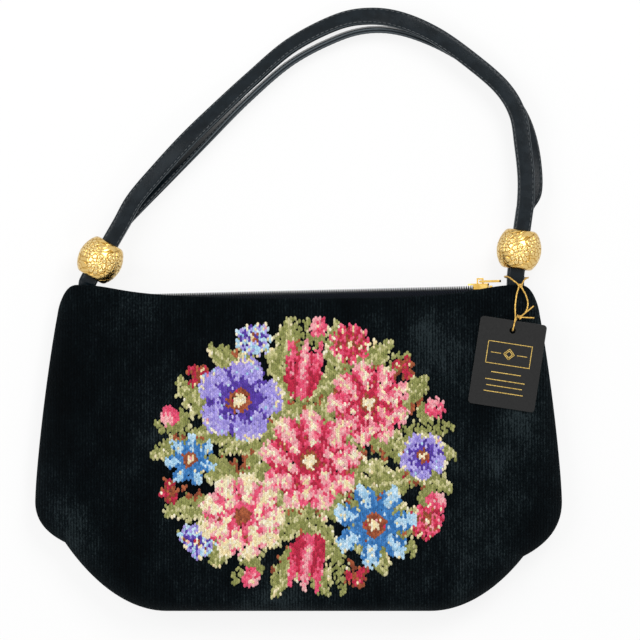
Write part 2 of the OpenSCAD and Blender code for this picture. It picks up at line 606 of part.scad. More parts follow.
function bud(x, y) = norm([x - 0.15, y * 1.15]) < 0.62 ? (y > 0 && x > 0 ? PALE_PINK : ROSE)
    : norm([x + 0.45, y]) < 0.55 ? OLIVE : 0;
function berries(x, y) = let (near = min(norm([x - 0.45, y]), norm([x + 0.05, abs(y) - 0.42])))
    near < 0.33 ? CRIMSON : x < 0.2 && abs(y) < 0.1 ? RUST : 0;
function leaf(x, y) = let (width = 0.34 * (1 - x * x) * (1.1 - 0.25 * x)) abs(x) > 1 || abs(y) > width ? 0
    : abs(y) < 0.06 || y > 0.7 * width ? PALE_GREEN : y < -0.7 * width && x < 0.3 ? RUST : OLIVE;
function frond(x, y) = let (row = (x - 0.55 * abs(y)) * 4.2 + 10) abs(y) < 0.05 ? OLIVE
    : abs(y) > 0.42 * (1 - 0.75 * abs(x)) || row - floor(row) > 0.6 ? 0 : PALE_GREEN;
function motif_colour(m, x, y) = let (
    size = m[3] * bouquet_h / 2, dx = x - m[1] * bouquet_w / 2, dy = y - m[2] * bouquet_h / 2,
    u = (dx * cos(m[4]) + dy * sin(m[4])) / size, v = (dy * cos(m[4]) - dx * sin(m[4])) / size,
    r = norm([u, v]), a = atan2(v, u))
    r > 1 ? 0 : m[0] == BLOOM ? bloom(r, a, m[5]) : m[0] == PANSY ? pansy(r, a) : m[0] == STAR ? star(r, a)
    : m[0] == TULIP ? tulip(u, v) : m[0] == BUD ? bud(u, v) : m[0] == BERRIES ? berries(u, v)
    : m[0] == LEAF ? leaf(u, v) : frond(u, v);
function first_colour(x, y, k = 0) = k == len(motifs) ? 0 : let (c = motif_colour(motifs[k], x, y))
    c > 0 ? c : first_colour(x, y, k + 1);
function inside(x, y) = pow(2 * x / bouquet_w, 2) + pow(2 * y / bouquet_h, 2) <= 1;

columns = floor(bouquet_w / rib_pitch);
rows = floor(bouquet_h / rib_pitch);
function cell_x(i) = (i - (columns - 1) / 2) * rib_pitch;
function cell_y(j) = (j - (rows - 1) / 2) * rib_pitch;
stitches = [for (i = [0:columns - 1]) [for (j = [0:rows - 1])
    inside(cell_x(i), cell_y(j)) ? first_colour(cell_x(i), cell_y(j)) : 0]];
function run_length(i, j, c) = j < rows && stitches[i][j] == c ? 1 + run_length(i, j + 1, c) : 0;

// All the ribs of one colour. A rib is one bar for each unbroken run of its colour.
rib_gap = 0.25;
module pile(c) {
    color(PILE_COLOURS[c - 1]) translate([bouquet_x, bouquet_y, face_z(bouquet_y)]) rotate([-face_slope, 0, 0])
        for (i = [0:columns - 1]) for (j = [0:rows - 1])
            if (stitches[i][j] == c && (j == 0 || stitches[i][j - 1] != c))
                translate([cell_x(i) - (rib_pitch - rib_gap) / 2, cell_y(j) - (rib_pitch - rib_gap) / 2, 0])
                    cube([rib_pitch - rib_gap, run_length(i, j, c) * rib_pitch - rib_gap, pile_h]);
}

front_panel();
back_panel();
lining_front();
lining_back();
zip_tape_front();
zip_tape_back();
zip_teeth_front();
zip_teeth_back();
zip_top_stops();
zip_bottom_stop();
zip_slider();
zip_pull();
strap_over();
strap_under();
bead_left();
bead_right();
swing_tag();
tag_thread();
for (c = [1:len(PILES)]) pile(c);
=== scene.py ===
import math
import random
import bpy
from mathutils import Matrix, Vector


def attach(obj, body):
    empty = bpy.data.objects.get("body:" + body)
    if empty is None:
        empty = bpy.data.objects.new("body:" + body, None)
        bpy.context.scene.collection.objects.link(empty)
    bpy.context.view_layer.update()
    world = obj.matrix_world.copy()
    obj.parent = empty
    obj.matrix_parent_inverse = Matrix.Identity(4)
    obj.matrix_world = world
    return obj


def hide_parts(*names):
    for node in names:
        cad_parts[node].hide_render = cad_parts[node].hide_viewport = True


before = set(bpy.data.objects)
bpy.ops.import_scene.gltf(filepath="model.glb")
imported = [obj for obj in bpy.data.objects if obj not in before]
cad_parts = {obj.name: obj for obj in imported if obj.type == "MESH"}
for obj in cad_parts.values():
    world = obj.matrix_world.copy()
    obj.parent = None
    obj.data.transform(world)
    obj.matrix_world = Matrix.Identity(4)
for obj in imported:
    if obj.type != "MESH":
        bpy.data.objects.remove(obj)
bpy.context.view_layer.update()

# White table, soft light and camera
# The bag lies on its back on a white table under wide overhead light.
# The camera looks straight down through a long lens, with the straps towards the top of the picture.
picture_middle = (0.0122, -0.0060)
picture_width = 0.3643
face_level = 0.014
lens_mm = 240.0
sensor_mm = 36.0
camera_height = face_level + picture_width * lens_mm / sensor_mm
table_glow = 0.84
room_light = 0.45

bpy.ops.object.select_all(action="DESELECT")
bpy.ops.object.camera_add(location=(picture_middle[0], picture_middle[1], camera_height), rotation=(0, 0, 0))
camera = bpy.context.object
camera.data.lens = lens_mm
camera.data.sensor_width = sensor_mm
camera.data.clip_start = 0.01
bpy.context.scene.camera = camera
bpy.context.scene.view_settings.view_transform = "Standard"


def soft_lamp(name, place, size, watts):
    bpy.ops.object.light_add(type="AREA", location=place)
    lamp = bpy.context.object
    lamp.name = name
    lamp.data.size = size
    lamp.data.energy = watts
    lamp.rotation_euler = (Vector((0, 0, 0)) - Vector(place)).to_track_quat("-Z", "Y").to_euler()


def seen_rays(tree):
    ray = tree.nodes.new("ShaderNodeLightPath")
    seen = ray.outputs["Is Camera Ray"]
    for kind in ("Is Glossy Ray", "Is Transmission Ray"):
        either = tree.nodes.new("ShaderNodeMath")
        either.operation = "ADD"
        either.use_clamp = True
        tree.links.new(seen, either.inputs[0])
        tree.links.new(ray.outputs[kind], either.inputs[1])
        seen = either.outputs[0]
    return seen


soft_lamp("key_lamp", (0.55, 0.75, 1.25), 0.7, 11.0)
soft_lamp("fill_lamp", (-0.85, 0.25, 1.15), 0.9, 8.0)
soft_lamp("edge_lamp", (0.30, -0.80, 0.95), 0.18, 1.3)

bpy.ops.mesh.primitive_plane_add(size=8, location=(0, 0, -0.0004))
table = bpy.context.object
table.name = "table"
bpy.ops.object.transform_apply(location=True, rotation=True, scale=True)
table_white = bpy.data.materials.new("table_white")
table_white.use_nodes = True
tree = table_white.node_tree
paint = tree.nodes["Principled BSDF"]
paint.inputs["Base Color"].default_value = (0.88, 0.88, 0.88, 1)
paint.inputs["Roughness"].default_value = 0.9
paint.inputs["Specular IOR Level"].default_value = 0.0
glow = tree.nodes.new("ShaderNodeEmission")
share = tree.nodes.new("ShaderNodeMath")
share.operation = "MULTIPLY"
share.inputs[1].default_value = table_glow
blend = tree.nodes.new("ShaderNodeMixShader")
tree.links.new(seen_rays(tree), share.inputs[0])
tree.links.new(share.outputs[0], blend.inputs["Fac"])
tree.links.new(paint.outputs["BSDF"], blend.inputs[1])
tree.links.new(glow.outputs["Emission"], blend.inputs[2])
tree.links.new(blend.outputs["Shader"], tree.nodes["Material Output"].inputs["Surface"])
table.data.materials.append(table_white)

world = bpy.data.worlds.new("white_room")
bpy.context.scene.world = world
world.use_nodes = True
tree = world.node_tree
room = tree.nodes["Background"]
room.inputs["Color"].default_value = (1, 1, 1, 1)
strength = tree.nodes.new("ShaderNodeMath")
strength.operation = "MULTIPLY_ADD"
strength.inputs[1].default_value = 1.0 - room_light
strength.inputs[2].default_value = room_light
tree.links.new(seen_rays(tree), strength.inputs[0])
tree.links.new(strength.outputs[0], room.inputs["Strength"])

# Front and back of the bag
# Two cut pieces of thick black chenille with fine upright ribs, sewn together round the sides and base.
# The lower corners are taken in by a dart each, and the upper edges are turned in along the zip.
half_width = 0.150
shoulder_x = 0.1375
mouth_end_x = 0.131
base_y = -0.1715
mouth_y = 0.0065
shoulder_rise = 0.0075
wide_y = -0.1095
base_end_x = 0.075
left_dart = (0.133, -0.1325)
right_dart = (0.128, -0.1405)
cloth_thick = 0.0016
top_roll = 0.010
mouth_level = 0.012
mouth_half_gap = 0.006
mouth_thick = 0.020
face_rise = 0.05618
side_roll = {"front": 0.036, "back": 0.040}
base_edge = {"front": 0.007, "back": 0.014}


def face_height(y):
    return mouth_thick + (mouth_y - y) * face_rise


def mix(a, b, t):
    return a + (b - a) * t


def curve_point(a, b, c, d, t):
    s = 1 - t
    return tuple(s * s * s * a[k] + 3 * s * s * t * b[k] + 3 * s * t * t * c[k] + t * t * t * d[k]
                 for k in (0, 1))


def half_edge(dart, mouth, rise):
    top = (mouth_end_x - 0.005, mouth + rise)
    hip = (shoulder_x, mouth + rise - 0.017)
    wide = (half_width, wide_y)
    foot = (base_end_x, base_y)
    return [
        ((0, mouth), (0.84 * mouth_end_x, mouth - 0.0005), (0.75 * mouth_end_x, mouth + rise), top),
        (top, (shoulder_x - 0.005, top[1]), (shoulder_x - 0.001, hip[1] + 0.008), hip),
        (hip, (mix(hip[0], wide[0], 0.45), mix(hip[1], wide[1], 0.28)),
         (mix(hip[0], wide[0], 0.97), mix(hip[1], wide[1], 0.8)), wide),
        (wide, (wide[0], mix(wide[1], dart[1], 0.46)),
         (mix(dart[0], wide[0], 0.62), mix(dart[1], wide[1], 0.22)), dart),
        (dart, (mix(dart[0], foot[0], 0.21), mix(dart[1], foot[1], 0.46)),
         (mix(dart[0], foot[0], 0.57), foot[1]), foot),
        (foot, (0.7 * foot[0], base_y), (0.3 * foot[0], base_y), (0, base_y)),
    ]


def half_face(roll, dart, mouth, edge):
    x = half_width - roll
    top = mouth - top_roll
    low = base_y + edge
    bend = 0.026
    near_dart = (x - 0.2 * roll, mix(wide_y, dart[1], 0.92))
    return [
        ((0, top), (0.87 * (x - bend), top), (0.78 * (x - bend), top), (x - bend, top)),
        ((x - bend, top), (x - 0.45 * bend, top), (x, top - 0.45 * bend), (x, top - bend)),
        ((x, top - bend), (x, mix(top, wide_y, 0.55)), (x, mix(top, wide_y, 0.7)), (x, wide_y)),
        ((x, wide_y), (x, mix(wide_y, dart[1], 0.2)), (x - 0.1 * roll, mix(wide_y, dart[1], 0.6)), near_dart),
        (near_dart, (x - 0.4 * roll, mix(dart[1], base_y, 0.33)),
         (1.1 * base_end_x, low), (0.87 * base_end_x, low)),
        ((0.87 * base_end_x, low), (0.6 * base_end_x, low), (0.3 * base_end_x, low), (0, low)),
    ]


edge_steps = (40, 16, 24, 14, 26, 14)


def walk(right, left):
    points = [curve_point(*c, k / n) for c, n in zip(right, edge_steps) for k in range(n)]
    points.append(right[-1][3])
    back = [curve_point(*c, k / n) for c, n in zip(left, edge_steps) for k in range(n)]
    return points + [(-x, y) for x, y in reversed(back)]


def cloth_wave(x, y):
    slow = math.sin(31 * x + 17 * y + 0.6) + math.sin(-23 * x + 41 * y + 2.1)
    quick = math.sin(77 * x + 20 * y + 1.3) * math.sin(64 * y - 19 * x)
    return 0.00028 * slow + 0.00022 * quick


def wrapped_grid(name, columns, rows, place):
    bpy.ops.object.select_all(action="DESELECT")
    bpy.ops.mesh.primitive_grid_add(x_subdivisions=columns, y_subdivisions=rows, size=2)
    piece = bpy.context.object
    piece.name = name
    piece.data.name = name
    for v in piece.data.vertices:
        v.co = place((v.co.x + 1) / 2, (v.co.y + 1) / 2)
    bpy.ops.object.mode_set(mode="EDIT")
    bpy.ops.mesh.select_all(action="SELECT")
    bpy.ops.mesh.remove_doubles(threshold=1e-6)
    bpy.ops.mesh.normals_make_consistent(inside=False)
    bpy.ops.object.mode_set(mode="OBJECT")
    bpy.ops.object.shade_smooth()
    return piece


def turn_faces(piece, towards):
    total = sum((p.normal * p.area for p in piece.data.polygons), Vector())
    if total.dot(Vector(towards)) < 0:
        bpy.ops.object.mode_set(mode="EDIT")
        bpy.ops.mesh.select_all(action="SELECT")
        bpy.ops.mesh.flip_normals()
        bpy.ops.object.mode_set(mode="OBJECT")


def apply_modifier(piece, kind, **values):
    bpy.context.view_layer.objects.active = piece
    modifier = piece.modifiers.new(kind.lower(), kind)
    for key, value in values.items():
        setattr(modifier, key, value)
    bpy.ops.object.modifier_apply(modifier=modifier.name)


roll_rows = 14
face_rows = 18
seam_clear = 0.00005


def cloth_panel(name, front, mouth, rise, roll, edge, depth, thick):
    rim = walk(half_edge(right_dart, mouth, rise), half_edge(left_dart, mouth, rise))
    flat = walk(half_face(roll, right_dart, mouth, edge), half_face(roll, left_dart, mouth, edge))
    count = len(rim)
    middle = (0.0, mix(mouth - top_roll, base_y + edge, 0.5))
    rows = roll_rows + face_rows

    def place(u, v):
        k = round(u * count) % count
        row = round(v * rows)
        p, q = rim[k], flat[k]
        s = min(1.0, row / roll_rows)
        opening = 0.0
        if p[1] >= mouth - 0.002:
            opening = min(1.0, max(0.0, (mouth_end_x + 0.004 - abs(p[0])) / 0.005))
        inwards = (Vector(q) - Vector(p)).normalized() * depth * (1 - opening)
        e = 1 - math.cos(math.pi / 2 * s)
        h = math.sin(math.pi / 2 * s)
        x = mix(p[0] + inwards[0], q[0], e)
        y = mix(p[1] + inwards[1], q[1], e)
        if front:
            lip = min(face_height(p[1]) - 0.0015, mouth_level + mouth_half_gap) - depth
            low = mix(0.5 * face_height(p[1]) + seam_clear, lip, opening)
            top = face_height(q[1]) - depth
        else:
            low = mix(0.5 * face_height(p[1]) - seam_clear, mouth_level - mouth_half_gap + depth, opening)
            top = depth
        z = mix(low, top, h)
        if row > roll_rows:
            t = (row - roll_rows) / face_rows
            x = mix(q[0], middle[0], t)
            y = mix(q[1], middle[1], t)
            z = face_height(y) - depth if front else depth
        if front:
            z += cloth_wave(x, y) * e
        return Vector((x, y, z))

    panel = wrapped_grid(name, count, rows, place)
    turn_faces(panel, (0, 0, 1) if front else (0, 0, -1))
    apply_modifier(panel, "SOLIDIFY", thickness=thick, offset=-1.0)
    bpy.ops.object.shade_smooth_by_angle(angle=math.radians(50))
    return panel


def dye(code):
    parts = [int(code[k:k + 2], 16) / 255 for k in (1, 3, 5)]
    return tuple(c / 12.92 if c <= 0.04045 else ((c + 0.055) / 1.055) ** 2.4 for c in parts) + (1.0,)


def new_finish(name, **values):
    finish = bpy.data.materials.new(name)
    finish.use_nodes = True
    shader = finish.node_tree.nodes["Principled BSDF"]
    for key, value in values.items():
        shader.inputs[key.replace("_", " ")].default_value = value
    return finish


def add_node(finish, kind, **values):
    made = finish.node_tree.nodes.new(kind)
    for key, value in values.items():
        name = key.replace("_", " ")
        if name in made.inputs:
            made.inputs[name].default_value = value
        else:
            setattr(made, key, value)
    return made


def join(finish, source, target):
    finish.node_tree.links.new(source, target)


def shader_of(finish):
    return finish.node_tree.nodes["Principled BSDF"]


def object_place(finish, scale=(1, 1, 1), turn=(0, 0, 0)):
    place = add_node(finish, "ShaderNodeTexCoord")
    mapping = add_node(finish, "ShaderNodeMapping")
    mapping.inputs["Scale"].default_value = scale
    mapping.inputs["Rotation"].default_value = turn
    join(finish, place.outputs["Object"], mapping.inputs["Vector"])
    return mapping.outputs["Vector"]


def pattern(finish, kind, scale=(1, 1, 1), turn=(0, 0, 0), **values):
    made = add_node(finish, kind, **values)
    join(finish, object_place(finish, scale, turn), made.inputs["Vector"])
    return made


def tones(finish, value, stops, target="Base Color"):
    ramp = add_node(finish, "ShaderNodeValToRGB")
    while len(ramp.color_ramp.elements) < len(stops):
        ramp.color_ramp.elements.new(0.5)
    for element, (position, colour) in zip(ramp.color_ramp.elements, stops):
        element.position = position
        element.color = colour if isinstance(colour, tuple) else (colour, colour, colour, 1)
    join(finish, value, ramp.inputs["Fac"])
    join(finish, ramp.outputs["Color"], shader_of(finish).inputs[target])
    return ramp


def relief(finish, height, distance, strength=1.0, below=None):
    bump = add_node(finish, "ShaderNodeBump", Distance=distance, Strength=strength)
    join(finish, height, bump.inputs["Height"])
    if below is not None:
        join(finish, below.outputs["Normal"], bump.inputs["Normal"])
    join(finish, bump.outputs["Normal"], shader_of(finish).inputs["Normal"])
    return bump


chenille_black = new_finish("chenille_black", Roughness=0.95, Specular_IOR_Level=0.03, Sheen_Weight=0.025,
                            Sheen_Roughness=0.5, Sheen_Tint=(0.7, 0.9, 1.0, 1))
ribs = pattern(chenille_black, "ShaderNodeTexWave", wave_type="BANDS", bands_direction="X", Scale=190.0,
               Distortion=2.6, Detail=3.0, Detail_Scale=700.0)
pile = pattern(chenille_black, "ShaderNodeTexNoise", (1.0, 0.6, 1.0), Scale=1150.0, Detail=4.0, Roughness=0.75)
streaks = pattern(chenille_black, "ShaderNodeTexNoise", (1.0, 0.16, 0.3), Scale=520.0, Detail=2.0,
                  Roughness=0.6)
patches = pattern(chenille_black, "ShaderNodeTexNoise", (1.0, 0.7, 1.0), (0, 0, 0.3), Scale=24.0, Detail=4.0,
                  Roughness=0.62)
nap = None
for layer, share in ((ribs, 0.10), (pile, 0.62), (streaks, 0.17), (patches, 0.72)):
    add = add_node(chenille_black, "ShaderNodeMath", operation="MULTIPLY_ADD")
    add.inputs[1].default_value = share
    add.inputs[2].default_value = 0.0
    join(chenille_black, layer.outputs["Fac"], add.inputs[0])
    if nap:
        join(chenille_black, nap, add.inputs[2])
    nap = add.outputs[0]
tones(chenille_black, nap, [(0.62, dye("#010203")), (0.78, dye("#04080b")), (0.88, dye("#0c1316")),
                            (1.0, dye("#273033"))])
rib_bump = relief(chenille_black, ribs.outputs["Fac"], 0.00035, 0.6)
relief(chenille_black, pile.outputs["Fac"], 0.0005, 0.8, rib_bump)

for half in ("back", "front"):
    panel = cloth_panel(half + "_cloth", half == "front", mouth_y, shoulder_rise, side_roll[half],
                        base_edge[half], 0.0, cloth_thick)
    panel.data.materials.append(chenille_black)
    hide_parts(half + "_panel")
    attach(panel, "bag")

# Lining
# Two pieces of thin red satin, sewn as a loose inner bag and caught to the zip's tapes below the mouth.
lining_y = mouth_y - 0.019
lining_in = 0.0021
lining_thick = 0.0006
satin_red = new_finish("satin_red", Base_Color=dye("#8d1f2d"), Roughness=0.35, Sheen_Weight=0.2)
weave = pattern(satin_red, "ShaderNodeTexWave", wave_type="BANDS", bands_direction="DIAGONAL", Scale=700.0,
                Distortion=0.6)
tones(satin_red, weave.outputs["Fac"], [(0.2, dye("#741523")), (0.8, dye("#9c2736"))])
relief(satin_red, weave.outputs["Fac"], 0.00008, 0.5)
for half in ("front", "back"):
    lining = cloth_panel("lining_" + half + "_cloth", half == "front", lining_y, 0.0, side_roll[half],
                         base_edge[half], lining_in, lining_thick)
    lining.data.materials.append(satin_red)
    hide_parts("lining_" + half)
    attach(lining, "bag")

# Bouquet
# Flowers and leaves worked into the front in short upright tufts of coloured chenille yarn.
# Each tuft stands a little proud of the black ground, and the yarns are mixed tuft by tuft.
bouquet_middle = (0.003, -0.0835)
bouquet_half = (0.087, 0.080)
tuft_across = 0.00118
tuft_along = 0.0018
tuft_size = (0.00087, 0.00140, 0.00085)
tuft_lift = 0.0004
yarn_colours = {
    "olive": ["#979a58", "#868a48", "#a8a866"], "pale_green": ["#cbc78c", "#bab779", "#dcd6a4"],
    "rose": ["#f0567c", "#e84268", "#f5728c"], "pale_pink": ["#fbafb6", "#f9c2c0", "#f799a6"],
    "crimson": ["#c42044", "#ae1a39", "#d62e50"], "cream": ["#fbedc4", "#f7e3ae", "#fff7dc"],
    "rust": ["#a2522f", "#8e4427", "#b8633c"], "violet": ["#593aa9", "#4a2f97", "#6b4dbb"],
    "lavender": ["#b0a2ea", "#9e90df", "#c7bcf3"], "blue": ["#3a80c4", "#2c72b4", "#5292d0"],
    "pale_blue": ["#bbdff5", "#a4d0ed", "#d6edfb"]}
next_yarn = {
    "crimson": "rose", "rose": "pale_pink", "pale_pink": "cream", "olive": "pale_green",
    "pale_green": "cream", "blue": "pale_blue", "pale_blue": "cream", "violet": "lavender",
    "lavender": "pale_blue", "cream": "pale_pink", "rust": "crimson"}


def across_petal(a, count, turn):
    b = (a - turn) * count / (2 * math.pi) + 0.5
    return 2 * (b - math.floor(b)) - 1


def petal_rim(a, count, turn, reach, notch):
    return reach * (1 - notch * abs(across_petal(a, count, turn)) ** 2.2)


def bloom(r, a, yarns, stray):
    dark, middle, light, eye = yarns
    if r < 0.19:
        return eye if r < 0.14 else "rust"
    for reach, count, turn in ((0.46, 6, 0.2), (0.74, 8, 0.55), (1.0, 9, 0.0)):
        rim = petal_rim(a, count, turn, reach, 0.24)
        side = abs(across_petal(a, count, turn))
        if r < rim:
            if side > 0.82 + 0.08 * stray:
                return "rust" if stray > 0.75 else dark
            if side < 0.15 + 0.10 * stray and r > (0.70 + 0.10 * stray) * rim:
                return "cream"
            if r > (0.86 + 0.06 * stray) * rim:
                return light if side < 0.62 else middle
            if side < 0.34 + 0.08 * stray and r > 0.60 * rim:
                return light
            return middle if r > (0.66 + 0.08 * stray) * reach else dark
    return None


def pansy(r, a, stray):
    side = abs(across_petal(a, 5, math.pi / 2))
    rim = petal_rim(a, 5, math.pi / 2, 1.0, 0.30)
    if r > rim:
        return None
    if r < 0.27:
        return "cream" if r < 0.15 else "rust"
    if side > 0.86 + 0.06 * stray or r < 0.56 + 0.10 * stray - 0.22 * side:
        return "violet"
    if r > 0.86 * rim and side < 0.5 and stray > 0.2:
        return "cream"
    return "lavender"


def star(r, a, stray):
    side = abs(across_petal(a, 7, 0.4))
    if r > petal_rim(a, 7, 0.4, 1.0, 0.55):
        return None
    if r < 0.28:
        return "cream" if r < 0.14 else "rust"
    if r > 0.46 + 0.06 * stray and side < 0.38 + 0.12 * stray:
        return "pale_blue"
    return "blue"


def tulip(x, y, stray):
    width = 0.62 - 0.10 * (x + 0.1) if x > -0.1 else 0.62 * math.sqrt(max(0.0, 1 - ((x + 0.12) / 0.85) ** 2))
    tips = 1 - 2.3 * min(abs(y), abs(abs(y) - 0.48))
    if abs(y) > width or x > tips:
        return None
    if abs(abs(y) - 0.24) < 0.06:
        return "crimson"
    if abs(y) < 0.24:
        return "pale_pink" if abs(y) < 0.09 + 0.05 * stray and x > -0.5 else "rose"
    return "crimson" if x < 0.3 * stray else "rose"


def bud(x, y, stray):
    if math.hypot(x - 0.15, 1.15 * y) < 0.62:
        return "pale_pink" if y > 0.12 * stray and x > 0 else "rose"
    if math.hypot(x + 0.45, y) < 0.55 or (abs(y) < 0.14 and -1 < x < 0):
        return "olive"
    return None


def berries(x, y, stray):
    near = min(math.hypot(x - 0.45, y), math.hypot(x + 0.05, abs(y) - 0.42))
    if near < 0.33:
        return "cream" if near < 0.07 else "crimson" if near < 0.25 + 0.05 * stray else "rust"
    return "rust" if -1 < x < 0.2 and abs(y) < 0.09 else None


def leaf(x, y, stray):
    width = 0.36 * max(0.0, 1 - x * x) * (1 + 0.20 * math.sin(17 * x)) * (1.1 - 0.25 * x)
    if abs(x) > 1 or abs(y) > width:
        return None
    if abs(y) < 0.045 + 0.03 * stray:
        return "pale_green"
    if y > 0.70 * width and x > -0.5:
        return "pale_green" if stray > -0.5 else "cream"
    if y < -0.68 * width and stray > -0.4 and x < 0.2:
        return "rust"
    return "olive"


def frond(x, y, stray):
    row = (x - 0.55 * abs(y)) * 4.2 + 10
    if abs(x) < 1 and abs(y) < 0.05:
        return "olive"
    if abs(x) < 1 and abs(y) < 0.42 * (1 - 0.75 * abs(x) ** 1.4) and row - math.floor(row) < 0.6:
        return "pale_green" if abs(y) > 0.26 else "olive"
    return None


pink_yarns = ("crimson", "rose", "pale_pink", "cream")
blush_yarns = ("rose", "pale_pink", "cream", "rust")
red_yarns = ("rust", "crimson", "rose", "cream")
lilac_yarns = ("violet", "lavender", "pale_blue", "cream")
motifs = [
    (bloom, 0.04, -0.03, 0.029, 8, pink_yarns), (bloom, 0.42, 0.38, 0.024, 20, pink_yarns),
    (bloom, -0.40, -0.42, 0.025, 0, blush_yarns), (pansy, -0.42, 0.40, 0.025, -14, None),
    (star, 0.46, -0.48, 0.024, 35, None), (star, -0.74, -0.02, 0.015, 10, None),
    (pansy, 0.78, 0.0, 0.014, 30, None), (tulip, 0.0, 0.62, 0.017, 84, None),
    (tulip, 0.02, -0.74, 0.017, 262, None),
    (bloom, -0.70, -0.60, 0.011, 0, lilac_yarns), (bloom, 0.30, 0.80, 0.012, 0, red_yarns),
    (bloom, -0.33, 0.84, 0.011, 0, lilac_yarns), (bloom, 0.80, -0.46, 0.011, 0, red_yarns)]


def ring_of(shape, far, size, turns):
    for angle, turn in turns:
        a = math.radians(angle)
        motifs.append((shape, far * math.cos(a), far * math.sin(a), size, angle + turn, None))


ring_of(bud, 0.90, 0.0095, [(a, 0) for a in (22, 84, 162, 248, 340)])
ring_of(berries, 0.90, 0.0095, [(a, 0) for a in (44, 140, 196, 292)])
outer_leaves = (4, 32, 58, 74, 98, 126, 150, 176, 206, 230, 262, 276, 306, 326, 350)
ring_of(leaf, 0.81, 0.0185, [(a, 14 if k % 2 else -18) for k, a in enumerate(outer_leaves)])
ring_of(frond, 0.83, 0.015, [(a, -8) for a in (14, 48, 90, 116, 168, 216, 244, 286, 318)])
ring_of(leaf, 0.56, 0.021, [(a + 10, -40 if a % 60 == 0 else 30) for a in range(0, 360, 30)])
ring_of(leaf, 0.34, 0.023, [(a + 20, 50) for a in range(0, 360, 45)])


def yarn_at(x, y, stray):
    for shape, mx, my, size, turn, yarns in motifs:
        dx = x - mx * bouquet_half[0]
        dy = y - my * bouquet_half[1]
        if dx * dx + dy * dy > 1.1 * size * size:
            continue
        c, s = math.cos(math.radians(turn)), math.sin(math.radians(turn))
        u = (dx * c + dy * s) / size
        v = (dy * c - dx * s) / size
        if shape is bloom:
            found = bloom(math.hypot(u, v), math.atan2(v, u), yarns, stray)
        elif shape in (pansy, star):
            found = shape(math.hypot(u, v), math.atan2(v, u), stray)
        else:
            found = shape(u, v, stray)
        if found:
            return found
    return None


dice = random.Random(7)
tufts = {yarn: [] for yarn in yarn_colours}
columns = int(2 * bouquet_half[0] / tuft_across)
rows = int(2 * bouquet_half[1] / tuft_along)
for i in range(columns):
    for j in range(rows):
        x = -bouquet_half[0] + (i + 0.5) * tuft_across
        y = -bouquet_half[1] + (j + 0.5 + 0.5 * (i % 2)) * tuft_along
        angle = math.atan2(y, x)
        ragged = 1.0 + 0.03 * math.sin(9 * angle) + 0.02 * math.sin(23 * angle)
        if (x / bouquet_half[0]) ** 2 + (y / bouquet_half[1]) ** 2 > ragged:
            continue
        stray = dice.uniform(-1, 1)
        yarn = yarn_at(x + dice.gauss(0, 0.00055), y + dice.gauss(0, 0.0007), stray)
        if yarn is None or dice.random() < (0.02 if yarn in ("olive", "pale_green") else 0.004):
            continue
        if dice.random() < 0.05:
            yarn = next_yarn[yarn]
        tufts[yarn].append((x + dice.gauss(0, 0.0001), y + dice.gauss(0, 0.00015), dice.uniform(0.85, 1.2),
                            dice.uniform(-0.22, 0.22), dice.uniform(0.8, 1.25), dice.choice((0, 0, 1, 2)),
                            dice.uniform(0.82, 1.03)))

bpy.ops.object.select_all(action="DESELECT")
bpy.ops.mesh.primitive_uv_sphere_add(segments=7, ring_count=5, radius=1.0, rotation=(0, 0, 0))
tuft = bpy.context.object
bpy.ops.object.mode_set(mode="EDIT")
bpy.ops.mesh.select_all(action="SELECT")
bpy.ops.mesh.bisect(plane_co=(0, 0, -0.35), plane_no=(0, 0, 1), clear_inner=True)
bpy.ops.object.mode_set(mode="OBJECT")


def taken_apart(model):
    points = [v.co.copy() for v in model.data.vertices]
    faces = [tuple(p.vertices) for p in model.data.polygons]
    bpy.data.objects.remove(model)
    return points, faces


def mesh_piece(name, points, faces, finish):
    mesh = bpy.data.meshes.new(name)
    mesh.from_pydata(points, [], faces)
    mesh.polygons.foreach_set("use_smooth", [True] * len(faces))
    mesh.materials.append(finish)
    piece = bpy.data.objects.new(name, mesh)
    bpy.context.scene.collection.objects.link(piece)
    return piece


def tuft_yarn(name):
    finish = new_finish(name, Roughness=0.9, Specular_IOR_Level=0.2, Sheen_Weight=0.25, Sheen_Roughness=0.5)
    colour = add_node(finish, "ShaderNodeAttribute", attribute_name="yarn")
    fibre = pattern(finish, "ShaderNodeTexNoise", Scale=2600.0, Detail=2.0)
    shade = add_node(finish, "ShaderNodeMix", data_type="RGBA", blend_type="MULTIPLY", Factor=1.0)
    depth = tones(finish, fibre.outputs["Fac"], [(0.30, 0.74), (0.62, 1.0)])
    join(finish, colour.outputs["Color"], shade.inputs[6])
    join(finish, depth.outputs["Color"], shade.inputs[7])
    join(finish, shade.outputs[2], shader_of(finish).inputs["Base Color"])
    relief(finish, fibre.outputs["Fac"], 0.0003, 0.6)
    return finish


tuft_points, tuft_faces = taken_apart(tuft)
for yarn, rows_of_yarn in tufts.items():
    points, faces, colours = [], [], []
    for x, y, wide, tilt, tall, shade, bright in rows_of_yarn:
        px, py = bouquet_middle[0] + x, bouquet_middle[1] + y
        base = face_height(py) + cloth_wave(px, py)
        first = len(points)
        tone = dye(yarn_colours[yarn][shade])
        for q in tuft_points:
            dx = q.x * tuft_size[0] * wide
            dy = q.y * tuft_size[1] * tall
            dz = q.z * tuft_size[2] * tall
            points.append((px + dx + tilt * dy, py + dy - tilt * dx, base + tuft_lift + dz))
            colours.extend([tone[0] * bright, tone[1] * bright, tone[2] * bright, 1.0])
        faces.extend(tuple(first + k for k in f) for f in tuft_faces)
    piece = mesh_piece(yarn + "_tufts", points, faces, tuft_yarn(yarn + "_yarn"))
    piece.data.attributes.new("yarn", "FLOAT_COLOR", "POINT").data.foreach_set("color", colours)
    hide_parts("pile_" + yarn)
    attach(piece, "bag")

